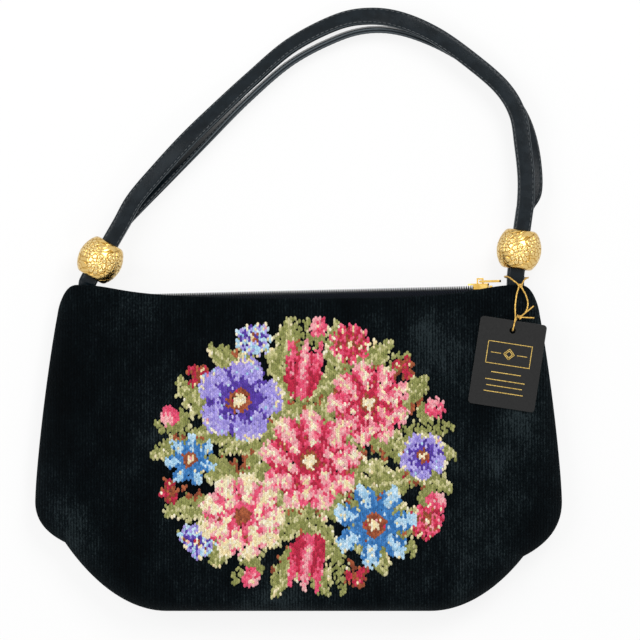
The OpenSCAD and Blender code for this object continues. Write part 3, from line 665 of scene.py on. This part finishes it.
# Zip tapes and teeth
# Two woven nylon tapes sewn inside the mouth, with a nylon coil along each that locks the two together.
# The coil stands just above the turned edge of the cloth and climbs slightly to the right.
zip_length = 0.206
tape_over = 0.006
tooth_tall = 0.0024
tooth_pitch = 0.0013
tooth_wide = (0.00095, 0.0006)
tooth_shift = 0.000325
tooth_reach = 0.0026
tooth_lean = 0.00038
tooth_root = 0.0003
tooth_round = 0.00024
divider_gap = 0.00055
tape_half = 0.0041
tape_thick = 0.0006
tape_down = 0.015
zip_slope = math.radians(1.4)
zip_frame = (Matrix.Translation((0.0055, mouth_y + 0.0046, mouth_level))
             @ Matrix.Rotation(zip_slope, 4, "Z"))

tape_black = new_finish("tape_black", Roughness=0.8, Specular_IOR_Level=0.05)
twill = pattern(tape_black, "ShaderNodeTexWave", wave_type="BANDS", bands_direction="DIAGONAL", Scale=420.0,
                Distortion=0.8, Detail=1.0)
tones(tape_black, twill.outputs["Fac"], [(0.25, dye("#030406")), (0.75, dye("#20242c"))])
relief(tape_black, twill.outputs["Fac"], 0.00025, 0.8)
nylon_black = new_finish("nylon_black", Roughness=0.32, Specular_IOR_Level=0.42)
scuff = pattern(nylon_black, "ShaderNodeTexNoise", Scale=500.0, Detail=3.0)
tones(nylon_black, scuff.outputs["Fac"], [(0.3, dye("#0d0f13")), (0.7, dye("#1d2026"))])
tones(nylon_black, scuff.outputs["Fac"], [(0.3, 0.26), (0.7, 0.42)], "Roughness")

tape_bend = 0.0012
tape_line = [(-tooth_tall, divider_gap + k * 0.0006) for k in range(4)]
tape_line += [(-tooth_tall - tape_bend * (1 - math.cos(a)), tape_half - tape_bend * (1 - math.sin(a)))
              for a in [k * math.pi / 12 for k in range(7)]]
tape_line += [(mix(-tooth_tall - tape_bend, -tape_down, k / 8), tape_half) for k in range(1, 9)]


def tape_place(side):
    def place(u, v):
        y, z = tape_line[round(v * (len(tape_line) - 1))]
        x = (u - 0.5) * (zip_length + 2 * tape_over)
        ripple = 0.00012 * math.sin(900 * x + side) * min(1.0, max(0.0, (-y - 0.003) / 0.004))
        return zip_frame @ Vector((x, y, side * (z - abs(ripple))))
    return place


for half, side in (("front", 1), ("back", -1)):
    tape = wrapped_grid("tape_" + half, 220, len(tape_line) - 1, tape_place(side))
    turn_faces(tape, (0, 0.1, side))
    apply_modifier(tape, "SOLIDIFY", thickness=tape_thick, offset=-1.0)
    tape.data.materials.append(tape_black)
    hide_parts("zip_tape_" + half)
    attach(tape, "bag")

    shift = 0.0 if side == 1 else 0.5
    count = int(zip_length / tooth_pitch - shift)
    bpy.ops.object.select_all(action="DESELECT")
    bpy.ops.mesh.primitive_cube_add(size=1.0)
    tooth = bpy.context.object
    for v in tooth.data.vertices:
        up = v.co.y + 0.5
        v.co = Vector((tooth_shift + v.co.x * mix(*tooth_wide, up) + side * tooth_lean * (up - 0.15),
                       (up - 1) * (tooth_tall + tooth_root), mix(divider_gap, tooth_reach, v.co.z + 0.5)))
    apply_modifier(tooth, "BEVEL", width=tooth_round, segments=2, limit_method="NONE")
    tooth_points, tooth_faces = taken_apart(tooth)
    points, faces = [], []
    for k in range(count):
        first = len(points)
        for q in tooth_points:
            x = -zip_length / 2 + (k + shift) * tooth_pitch + q.x
            points.append(zip_frame @ Vector((x, q.y, side * q.z)))
        faces.extend(tuple(first + n for n in (f if side == 1 else reversed(f))) for f in tooth_faces)
    coil = mesh_piece("coil_" + half, points, faces, nylon_black)
    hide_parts("zip_teeth_" + half)
    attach(coil, "bag")

# Zip slider, pull and stops
# Small castings and stampings in bright gold plate with tumbled edges, and a bottom stop of black nylon.
# The slider runs along the coil, and its pull swings on a bar through the crown.
zip_gold = new_finish("zip_gold", Metallic=1.0, Roughness=0.2)
wear = pattern(zip_gold, "ShaderNodeTexNoise", Scale=420.0, Detail=4.0)
tones(zip_gold, wear.outputs["Fac"], [(0.3, dye("#d3a346")), (0.65, dye("#f2cd74"))])
tones(zip_gold, wear.outputs["Fac"], [(0.3, 0.14), (0.7, 0.30)], "Roughness")
sharp_angle = math.radians(40)


def rounded_copy(node, name, width):
    bpy.ops.object.select_all(action="DESELECT")
    piece = bpy.data.objects.new(name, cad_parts[node].data.copy())
    piece.data.materials.clear()
    bpy.context.scene.collection.objects.link(piece)
    bpy.context.view_layer.objects.active = piece
    piece.select_set(True)
    bpy.ops.object.mode_set(mode="EDIT")
    bpy.ops.mesh.select_all(action="SELECT")
    bpy.ops.mesh.remove_doubles(threshold=1e-6)
    bpy.ops.mesh.dissolve_limited(angle_limit=math.radians(1))
    bpy.ops.object.mode_set(mode="OBJECT")
    apply_modifier(piece, "BEVEL", width=width, segments=3, limit_method="ANGLE", angle_limit=sharp_angle)
    bpy.ops.object.shade_smooth_by_angle(angle=sharp_angle)
    apply_modifier(piece, "WEIGHTED_NORMAL", keep_sharp=True)
    return piece


for node, body, width in (("zip_slider", "slider", 0.00018), ("zip_pull", "pull", 0.00018),
                          ("zip_top_stops", "bag", 0.0003), ("zip_bottom_stop", "bag", 0.0003)):
    part = rounded_copy(node, node + "_metal", width)
    part.data.materials.append(nylon_black if node == "zip_bottom_stop" else zip_gold)
    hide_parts(node)
    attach(part, body)

# Straps
# Two narrow straps of glossy black leather, folded over a core and sewn along both edges.
# Their ends are sewn into the shoulders, and both pass through the beads before they arch over the bag.
strap_half = 0.005
strap_half_thick = 0.0018
shoulder_y = 0.014
apex_y = 0.1715
left_way = Vector((math.cos(math.radians(60)), math.sin(math.radians(60)), 0))
right_way = Vector((math.cos(math.radians(82)), math.sin(math.radians(82)), 0))
left_foot = Vector((-0.1185, 0.0185, 0.01305))
right_foot = Vector((0.124, 0.023, 0.01305))
over_run = [(0.035, 0.12, 1.46, 3), (0.096, 0.26, 1.39, 8), (0.167, 0.41, 1.26, 14), (0.246, 0.56, 0.88, 22),
            (0.323, 0.70, 0.60, 30), (0.42, 0.86, 0.52, 32), (0.53, 0.97, 0.66, 26), (0.61, 1.00, 0.97, 14),
            (0.69, 0.98, 1.29, 4), (0.78, 0.905, 1.32, 0), (0.87, 0.782, 1.33, 0), (0.944, 0.655, 1.36, 0),
            (0.982, 0.53, 1.38, 0), (0.995, 0.38, 1.42, 0), (1.003, 0.22, 1.46, 0)]
under_run = [(0.02, 0.055, 1.02, 8), (0.10, 0.21, 0.80, 30), (0.202, 0.40, 0.61, 56),
             (0.31, 0.597, 0.55, 78), (0.42, 0.779, 0.55, 80), (0.53, 0.892, 0.55, 80),
             (0.61, 0.936, 0.55, 80), (0.69, 0.928, 0.55, 80), (0.78, 0.867, 0.55, 80),
             (0.87, 0.768, 0.55, 80), (0.94, 0.675, 0.56, 74), (0.982, 0.57, 0.60, 58),
             (1.007, 0.45, 0.70, 36), (1.021, 0.30, 0.86, 16), (1.022, 0.16, 1.00, 4)]
strap_wide = 0.010
root_in = 0.002
stacked_run = 0.0364


def spline(before, points, after, steps):
    q = [Vector(p) for p in [before] + points + [after]]
    line = []
    for k in range(1, len(q) - 2):
        a, b, c, d = q[k - 1], q[k], q[k + 1], q[k + 2]
        for j in range(steps):
            t = j / steps
            line.append(0.5 * (2 * b + (c - a) * t + (2 * a - 5 * b + 4 * c - d) * t * t
                               + (3 * b - a - 3 * c + d) * t * t * t))
    return line


def leaned(p, angle=0.0):
    return Vector((p[0], p[1], p[2], angle))


def strap_line(run, level):
    up = Vector((0, 0, level))
    l0 = left_foot - left_way * root_in + up
    l1 = l0 + left_way * stacked_run
    r0 = right_foot - right_way * root_in + up
    r1 = r0 + right_way * stacked_run
    l_sewn = Vector((l0.x - left_way.x * root_in, shoulder_y - 0.001, mouth_level + level))
    r_sewn = Vector((r0.x - right_way.x * root_in, shoulder_y - 0.001, mouth_level + level))
    tuck = Vector((0, 0.014, 0))
    rise = apex_y - 0.0043 - l1.y
    arch = [Vector((mix(l1.x, r1.x, s), l1.y + rise * h, strap_wide * z, a)) for s, h, z, a in run]
    arch = [leaned(l1)] + arch + [leaned(r1)]
    line = spline(leaned(l_sewn - 2 * tuck), [leaned(l_sewn - tuck), leaned(l_sewn), leaned(l0)],
                  leaned(l0 + left_way * 0.005), 8)
    line += [leaned(l0.lerp(l1, k / 8)) for k in range(8)]
    line += spline(leaned(l1 - left_way * 0.020), arch, leaned(r1 - right_way * 0.020), 12)
    line += [leaned(r1.lerp(r0, k / 8)) for k in range(8)]
    line += spline(leaned(r0 + right_way * 0.009), [leaned(r0), leaned(r_sewn), leaned(r_sewn - tuck)],
                   leaned(r_sewn - 2 * tuck), 8)
    return line + [leaned(r_sewn - tuck)]


def line_frames(line):
    frames = []
    for k, p in enumerate(line):
        heading = (line[min(k + 1, len(line) - 1)].to_3d() - line[max(k - 1, 0)].to_3d()).normalized()
        side = Vector((0, 0, 1)).cross(heading).normalized()
        up = heading.cross(side)
        a = math.radians(p[3])
        frames.append((p.to_3d(), heading, side * math.cos(a) - up * math.sin(a),
                       side * math.sin(a) + up * math.cos(a)))
    return frames


seam_in = 0.0012


def strap_skin(x):
    crown = strap_half_thick * (1 - 0.16 * abs(x / strap_half) ** 3)
    return crown - 0.00022 * math.exp(-((abs(x) - (strap_half - seam_in)) / 0.00028) ** 2)


edge_round = 0.0009
fold_deep = 0.00045
across = [(strap_half - edge_round) * math.sin(math.pi / 2 * (1 - k / 13)) for k in range(27)]
section = [(x, strap_skin(x)) for x in across]
corner = strap_skin(strap_half - edge_round)
edge_turns = [k * math.pi / 14 for k in range(1, 14)]
edge_out = [edge_round * math.sin(a) - fold_deep * math.exp(-((a - math.pi / 2) / 0.25) ** 2)
            for a in edge_turns]
# The edge shine profile peaks on the two ridges beside each edge fold, and is used to paint a highlight line
# along each ridge.
edge_shine = [math.exp(-((abs(a - math.pi / 2) - 0.62) / 0.26) ** 2) for a in edge_turns]
section += [(-strap_half + edge_round - out, corner * math.cos(a)) for a, out in zip(edge_turns, edge_out)]
section += [(-x, -strap_skin(x)) for x in across]
section += [(strap_half - edge_round + out, -corner * math.cos(a)) for a, out in zip(edge_turns, edge_out)]
section_shine = 2 * ([0.0] * len(across) + edge_shine)

leather_black = new_finish("leather_black", Roughness=0.25, Specular_IOR_Level=0.17)
grain = pattern(leather_black, "ShaderNodeTexVoronoi", Scale=1500.0)
worn = pattern(leather_black, "ShaderNodeTexNoise", Scale=160.0, Detail=5.0)
face_tone = tones(leather_black, worn.outputs["Fac"], [(0.3, dye("#070f14")), (0.7, dye("#111a20"))])
tones(leather_black, worn.outputs["Fac"], [(0.3, 0.20), (0.7, 0.34)], "Roughness")
relief(leather_black, grain.outputs["Distance"], 0.00008, 0.5)
# Painted highlight: a lighter grey mixed into the leather's colour along the ridges of both edges, following
# the edge shine profile.
edge_highlight_mix = add_node(leather_black, "ShaderNodeMix", data_type="RGBA")
edge_highlight_mix.inputs[7].default_value = dye("#545c61")
painted_edge_highlight = add_node(leather_black, "ShaderNodeAttribute", attribute_name="painted_edge_highlight")
join(leather_black, painted_edge_highlight.outputs["Fac"], edge_highlight_mix.inputs["Factor"])
join(leather_black, face_tone.outputs["Color"], edge_highlight_mix.inputs[6])
join(leather_black, edge_highlight_mix.outputs[2], shader_of(leather_black).inputs["Base Color"])
stitch_black = new_finish("stitch_black", Roughness=0.55, Sheen_Weight=0.2)
twist = pattern(stitch_black, "ShaderNodeTexWave", Scale=900.0, Distortion=1.0)
tones(stitch_black, twist.outputs["Fac"], [(0.2, dye("#1f2427")), (0.8, dye("#4c5256"))])
relief(stitch_black, twist.outputs["Fac"], 0.0001, 0.5)

bpy.ops.object.select_all(action="DESELECT")
bpy.ops.mesh.primitive_uv_sphere_add(segments=6, ring_count=5, radius=1.0)
stitch = bpy.context.object
stitch_points, stitch_faces = taken_apart(stitch)


def spot(p):
    return round(p.x * 1e6), round(p.y * 1e6), round(p.z * 1e6)


stitch_pitch = 0.0030
stitch_half = (0.00115, 0.00026, 0.0002)
stitch_proud = 0.00006
pair_level = 0.0021
for node, run, level in (("strap_over", over_run, pair_level), ("strap_under", under_run, -pair_level)):
    frames = line_frames(strap_line(run, level))
    steps = len(frames)
    shine = {}

    def strap_place(u, v):
        row = round(v * (steps + 1)) - 1
        middle, heading, sideways, over = frames[min(max(row, 0), steps - 1)]
        if row < 0 or row > steps - 1:
            return middle.copy()
        n = round(u * len(section)) % len(section)
        x, y = section[n]
        p = middle + sideways * x + over * y
        shine[spot(p)] = section_shine[n]
        return p

    strap = wrapped_grid(node + "_leather", len(section), steps + 1, strap_place)
    # Per-vertex strength of the painted edge highlight.
    edge_highlight_values = [shine.get(spot(v.co), 0.0) for v in strap.data.vertices]
    strap.data.attributes.new("painted_edge_highlight", "FLOAT", "POINT").data.foreach_set("value", edge_highlight_values)
    bpy.ops.object.shade_smooth_by_angle(angle=math.radians(60))
    strap.data.materials.append(leather_black)
    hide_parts(node)
    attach(strap, "bag")

    points, faces = [], []
    next_stitch = stitch_pitch
    along = 0.0
    for k in range(20, steps - 20):
        step = (frames[k + 1][0] - frames[k][0]).length
        while next_stitch < along + step:
            t = (next_stitch - along) / step
            middle, heading, sideways, over = [p.lerp(q, t) for p, q in zip(frames[k], frames[k + 1])]
            next_stitch += stitch_pitch
            for edge in (-1, 1):
                for face in (-1, 1):
                    x = edge * (strap_half - seam_in)
                    y = face * (strap_skin(x) + stitch_proud)
                    first = len(points)
                    for q in stitch_points:
                        points.append(middle + heading * q.z * stitch_half[0]
                                      + sideways * (x + q.x * stitch_half[1])
                                      + over * (y + q.y * stitch_half[2]))
                    faces.extend(tuple(first + n for n in f) for f in stitch_faces)
        along += step
    stitches = mesh_piece(node + "_stitches", points, faces, stitch_black)
    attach(stitches, "bag")

# Barrel beads
# Two hollow-cast metal beads in bright gold plate, with large flowers and leaves chased all over the barrel.
# Each slides on both straps, which fill its hole.
bead_radius = 0.01275
bead_half_length = 0.0112
bead_end_radius = 0.0083
bead_hole = (0.0054, 0.0043)
sagitta = bead_radius - bead_end_radius
barrel_arc = (bead_half_length ** 2 + sagitta ** 2) / (2 * sagitta)

bead_gold = new_finish("bead_gold", Metallic=1.0, Roughness=0.2)
# The chased level also sets the gold's colour. It paints shade, dark brown, into the chased recesses, and
# paints a highlight, pale gold, on the raised petal tops and flower centres.
depth = add_node(bead_gold, "ShaderNodeAttribute", attribute_name="chasing_shade_and_highlight")
tones(bead_gold, depth.outputs["Fac"], [(0.1, dye("#7c5118")), (0.45, dye("#b4883a")), (0.75, dye("#d6b269")),
                                       (1.0, dye("#f0d99c"))])
tones(bead_gold, depth.outputs["Fac"], [(0.0, 0.34), (0.5, 0.22), (1.0, 0.14)], "Roughness")
hammer = pattern(bead_gold, "ShaderNodeTexNoise", Scale=900.0, Detail=2.0)
relief(bead_gold, hammer.outputs["Fac"], 0.00012, 0.5)

rim_round = (0.0014, 0.0012)
chase_deep = 0.00060
plain_level = 0.7
bead_columns = 320
rows_end, rows_barrel, rows_hole = 5, 112, 6
rows_all = rows_barrel + 2 * rows_end + 2 * rows_hole
flower_size = 0.0062
flower_places = [(k * math.pi / 4, 0.0030 if k % 2 else -0.0030) for k in range(8)]


def groove(off, wide):
    return math.exp(-(off / wide) ** 2)


def chased(angle, along):
    wander = 0.0011 * math.sin(4 * angle + 350 * along) + 0.0007 * math.sin(9 * angle - 620 * along)
    frond = abs(math.sin((along + 0.6 * bead_radius * math.sin(2 * angle) / 4 + wander) * 1150))
    leaf_cut = abs(math.sin(4 * angle + 2.2 * math.sin(330 * along)))
    level = 0.80 - 0.42 * groove(frond, 0.22) - 0.50 * groove(leaf_cut, 0.10)
    for at, middle_level in flower_places:
        dx = ((angle - at + math.pi) % (2 * math.pi) - math.pi) * bead_radius
        dy = along - middle_level
        r = math.hypot(dx, dy) / flower_size
        if r > 1:
            continue
        a = math.atan2(dy, dx)
        if r < 0.20:
            return 0.92 - 0.35 * groove(r - 0.19, 0.03)
        for reach, count, turn in ((0.60, 7, at), (1.0, 9, 0.4 - at)):
            side = abs(across_petal(a, count, turn))
            rim = reach * (1 - 0.22 * side ** 2.4)
            if r < rim:
                cut = groove((1 - side) * r * math.pi / count, 0.045) + groove(rim - r, 0.045)
                vein = 0.12 * groove(side * r * math.pi / count, 0.03)
                return max(0.1, (0.96 if reach < 0.9 else 0.90) - 0.62 * min(1.0, cut) - vein)
    return level


for node, body, foot, way in (("bead_left", "left_bead", left_foot, left_way),
                              ("bead_right", "right_bead", right_foot, right_way)):
    middle = foot + way * bead_half_length
    side = Vector((0, 0, 1)).cross(way).normalized()
    heights = {}

    def bead_ring(v):
        k = round(v * rows_all) - rows_hole
        if k < 0 or k > rows_barrel + 2 * rows_end:
            inside = -k if k < 0 else k - rows_barrel - 2 * rows_end
            end = -1 if k < 0 else 1
            return end * bead_half_length * (1 - inside / rows_hole), 0.0, False
        if k < rows_end:
            return -bead_half_length, k / rows_end, False
        if k > rows_end + rows_barrel:
            return bead_half_length, (2 * rows_end + rows_barrel - k) / rows_end, False
        return bead_half_length * (2 * (k - rows_end) / rows_barrel - 1), 1.0, True

    def bead_place(u, v):
        angle = 2 * math.pi * (round(u * bead_columns) % bead_columns) / bead_columns
        along, out, on_barrel = bead_ring(v)
        c, s = math.cos(angle), math.sin(angle)
        reach = min(bead_hole[0] / max(abs(c), 1e-6), bead_hole[1] / max(abs(s), 1e-6))
        level = plain_level
        if on_barrel:
            radius = bead_radius - barrel_arc + math.sqrt(barrel_arc ** 2 - along ** 2)
            level = chased(angle, along)
            edge = max(0.0, 1 - (bead_half_length - abs(along)) / rim_round[0])
            radius += chase_deep * (level - 0.96) * (1 - edge) - rim_round[1] * (1 - math.sqrt(1 - edge * edge))
        else:
            radius = mix(reach, bead_end_radius - rim_round[1], out)
        p = middle + way * along + side * (c * radius) + Vector((0, 0, s * radius))
        heights[spot(p)] = level
        return p

    bead = wrapped_grid(node + "_metal", bead_columns, rows_all, bead_place)
    # Chased level of each point; it drives both the roughness and the painted shade and highlight.
    levels = [heights.get(spot(v.co), plain_level) for v in bead.data.vertices]
    bead.data.attributes.new("chasing_shade_and_highlight", "FLOAT", "POINT").data.foreach_set("value", levels)
    bpy.ops.object.shade_smooth_by_angle(angle=math.radians(60))
    bead.data.materials.append(bead_gold)
    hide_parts(node)
    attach(bead, body)

# Swing tag
# A card with a glossy black face, printed with a plain gold frame, a lozenge and rules in foil.
# It hangs by a punched hole and lies on the front of the bag.
tag_size = (0.038, 0.050)
tag_middle = Vector((0.1185, -0.031, 0.0))
tag_lift = math.radians(2.6)
tag_middle.z = face_height(tag_middle.y) + 0.0003 + tag_size[1] / 2 * math.sin(tag_lift)
tag_tilt = tag_lift - math.atan(face_rise)
tag_turn = math.radians(-8.7)
tag_frame = (Matrix.Translation(tag_middle) @ Matrix.Rotation(tag_tilt, 4, "X")
             @ Matrix.Rotation(tag_turn, 4, "Z"))
foil_level = 0.00053
foil_wide = 0.0004
badge_y = 0.0055
badge_half = (0.0125, 0.0062)

card_black = new_finish("card_black", Roughness=0.26, Specular_IOR_Level=0.3)
paper = pattern(card_black, "ShaderNodeTexNoise", Scale=700.0, Detail=4.0)
tones(card_black, paper.outputs["Fac"], [(0.3, dye("#0e0e0e")), (0.7, dye("#171717"))])
relief(card_black, paper.outputs["Fac"], 0.00004, 0.4)
card = rounded_copy("swing_tag", "tag_card", 0.00012)
card.data.materials.append(card_black)
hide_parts("swing_tag")
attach(card, "bag")

foil_gold = new_finish("foil_gold", Metallic=1.0, Roughness=0.3)
flecks = pattern(foil_gold, "ShaderNodeTexNoise", Scale=1800.0, Detail=3.0)
tones(foil_gold, flecks.outputs["Fac"], [(0.32, dye("#a5853f")), (0.6, dye("#d8ba6a"))])
tones(foil_gold, flecks.outputs["Fac"], [(0.3, 0.22), (0.7, 0.4)], "Roughness")


def foil_line(x, y, wide, tall, turn=0.0):
    bpy.ops.object.select_all(action="DESELECT")
    bpy.ops.mesh.primitive_plane_add(size=1.0)
    piece = bpy.context.object
    bpy.ops.object.mode_set(mode="EDIT")
    bpy.ops.mesh.select_all(action="SELECT")
    bpy.ops.mesh.subdivide(number_cuts=2)
    bpy.ops.object.mode_set(mode="OBJECT")
    piece.data.transform(tag_frame @ Matrix.Translation((x, y, foil_level)) @ Matrix.Rotation(turn, 4, "Z")
                         @ Matrix.Diagonal((wide, tall, 1, 1)))
    return piece


def joined(pieces, name):
    bpy.ops.object.select_all(action="DESELECT")
    for piece in pieces:
        piece.select_set(True)
    bpy.context.view_layer.objects.active = pieces[0]
    bpy.ops.object.join()
    bpy.context.object.name = name
    return bpy.context.object


prints = []
for end in (-1, 1):
    prints.append(foil_line(0.0, badge_y + end * badge_half[1], 2 * badge_half[0] + foil_wide, foil_wide))
for end in (-1, 1):
    prints.append(foil_line(end * badge_half[0], badge_y, 2 * badge_half[1] + foil_wide, foil_wide,
                            math.pi / 2))
for size in (0.0062, 0.0040):
    side = size / math.sqrt(2)
    for dx, dy, turn in ((1, 1, -1), (-1, 1, 1), (-1, -1, -1), (1, -1, 1)):
        prints.append(foil_line(dx * size / 4, badge_y + dy * size / 4, side + 0.0003, foil_wide,
                                turn * math.pi / 4))
for end in (-1, 1):
    prints.append(foil_line(end * 0.0075, badge_y, 0.0058, foil_wide))
for y, wide in ((-0.0055, 0.017), (-0.0098, 0.0225), (-0.0132, 0.0205), (-0.0166, 0.0225)):
    prints.append(foil_line(0.0, y, wide, 0.00045))
foil = joined(prints, "tag_foil")
foil.data.materials.append(foil_gold)
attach(foil, "bag")

# Tag thread
# A twisted gold thread that goes round the right-hand straps below the bead and back through the card's hole.
# It is tied by the card, where its two cut ends stick out, and caught by a second knot at the strap.
thread_width = 0.001
thread_sides = 12
hole_far = tag_size[1] / 2 - 0.0058
hole_up = hole_far * math.cos(tag_turn)
hole_at = tag_middle + Vector((-hole_far * math.sin(tag_turn), hole_up * math.cos(tag_tilt),
                               hole_up * math.sin(tag_tilt)))
pair_x = 0.124
wrap_at = Vector((pair_x, shoulder_y + 0.00405, 0.012525))
wrap_half = (0.0059, 0.0048)


def by_hole(x, y, z):
    return hole_at + Vector((x, y, z)) / 1000


def by_shoulder(x, y, z):
    return Vector((pair_x + x / 1000, shoulder_y + y / 1000, face_height(shoulder_y + y / 1000) + z / 1000))


def round_pair(x, y, z):
    return wrap_at + Vector((x * wrap_half[0], y / 1000, z * wrap_half[1]))


thread_route = [by_hole(4.2, 7.6, 0), by_hole(7.6, 10.8, -1.4), by_shoulder(6.2, -10.5, 0.2),
                by_shoulder(4.9, -5.6, 0.6), by_shoulder(2.7, -1.2, 0.9), round_pair(0.72, -1.4, 1.12),
                round_pair(1.1, 0, 0.6), round_pair(1.08, 0, -0.55), round_pair(0.65, 0, -1.12),
                round_pair(-0.65, 0, -1.12), round_pair(-1.08, 0.4, -0.55), round_pair(-1.1, 0.8, 0.65),
                round_pair(-0.8, 0.4, 1.2), by_shoulder(-1.8, 2.2, 1.6), by_shoulder(0.9, -0.6, 1.4),
                by_shoulder(-0.2, -5.6, 1.1), by_hole(1.5, 14.2, -0.6), by_hole(1.5, 9.8, 0.2),
                by_hole(1.4, 6.6, 1.7), by_hole(0.8, 3.4, 2.2), by_hole(0.4, 1.95, 2.2),
                by_hole(0.2, 0.98, 1.94), by_hole(0.1, 0.26, 1.23), by_hole(0, 0, 0.25),
                by_hole(0.1, 0.26, -0.73), by_hole(0.2, 0.98, -1.44), by_hole(0.4, 1.95, -1.7),
                by_hole(0.8, 3.4, -1.7), by_hole(2.2, 6.8, -1.6), by_hole(3.2, 9, -1.6)]

thread_gold = new_finish("thread_gold", Metallic=0.55, Roughness=0.42, Sheen_Weight=0.2)
strand = pattern(thread_gold, "ShaderNodeTexNoise", Scale=2200.0, Detail=3.0)
tones(thread_gold, strand.outputs["Fac"], [(0.3, dye("#a67a26")), (0.6, dye("#dcb457"))])
relief(thread_gold, strand.outputs["Fac"], 0.0001, 0.5)


def twisted(name, line, width, lay):
    frames = line_frames([leaned(p) for p in line])
    steps = len(frames)
    run = [0.0]
    for k in range(1, steps):
        run.append(run[-1] + (frames[k][0] - frames[k - 1][0]).length)

    def place(u, v):
        row = round(v * (steps + 1)) - 1
        middle, heading, sideways, over = frames[min(max(row, 0), steps - 1)]
        if row < 0 or row > steps - 1:
            return middle.copy()
        a = 2 * math.pi * (round(u * thread_sides) % thread_sides) / thread_sides
        r = width / 2 * (0.86 + 0.14 * math.cos(2 * a - 2 * math.pi * run[row] / lay))
        return middle + sideways * (r * math.cos(a)) + over * (r * math.sin(a))

    piece = wrapped_grid(name, thread_sides, steps + 1, place)
    piece.data.materials.append(thread_gold)
    return piece


thread_line = spline(2 * thread_route[0] - thread_route[1], thread_route,
                     2 * thread_route[-1] - thread_route[-2], 10) + [thread_route[-1]]
thread_length = sum((b - a).length for a, b in zip(thread_line, thread_line[1:]))
thread = twisted("tag_thread_gold", thread_line, thread_width, 0.0024)


def knot_line(middle, size):
    line = []
    for k in range(61):
        a = 2 * math.pi * k / 60
        loop = Vector((math.sin(a) + 2 * math.sin(2 * a), math.cos(a) - 2 * math.cos(2 * a),
                       -1.2 * math.sin(3 * a)))
        line.append(Vector(middle) + loop * size / 3)
    return line


low_knot = thread_route[0] + Vector((0, 0, 0.0003))
high_knot = by_shoulder(1.8, -0.5, 1.6)
knot_lay = 0.002
bits = [twisted("low_knot", knot_line(low_knot, 0.0010), 0.0008, knot_lay),
        twisted("high_knot", knot_line(high_knot, 0.0010), 0.0008, knot_lay)]
for reach in (Vector((0.0078, 0.0064, -0.0008)), Vector((0.0080, -0.0004, -0.0012))):
    bowed = low_knot + reach * 0.5 + Vector((0, 0, 0.0005))
    tail = spline(low_knot - reach * 0.2, [low_knot, bowed, low_knot + reach], low_knot + reach * 1.4, 8)
    bits.append(twisted("tail", tail + [low_knot + reach], 0.0009, knot_lay))
knots = joined(bits, "thread_knots")
for piece in (thread, knots):
    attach(piece, "bag")
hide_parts("tag_thread")
[tuple(p) for p in thread_line]
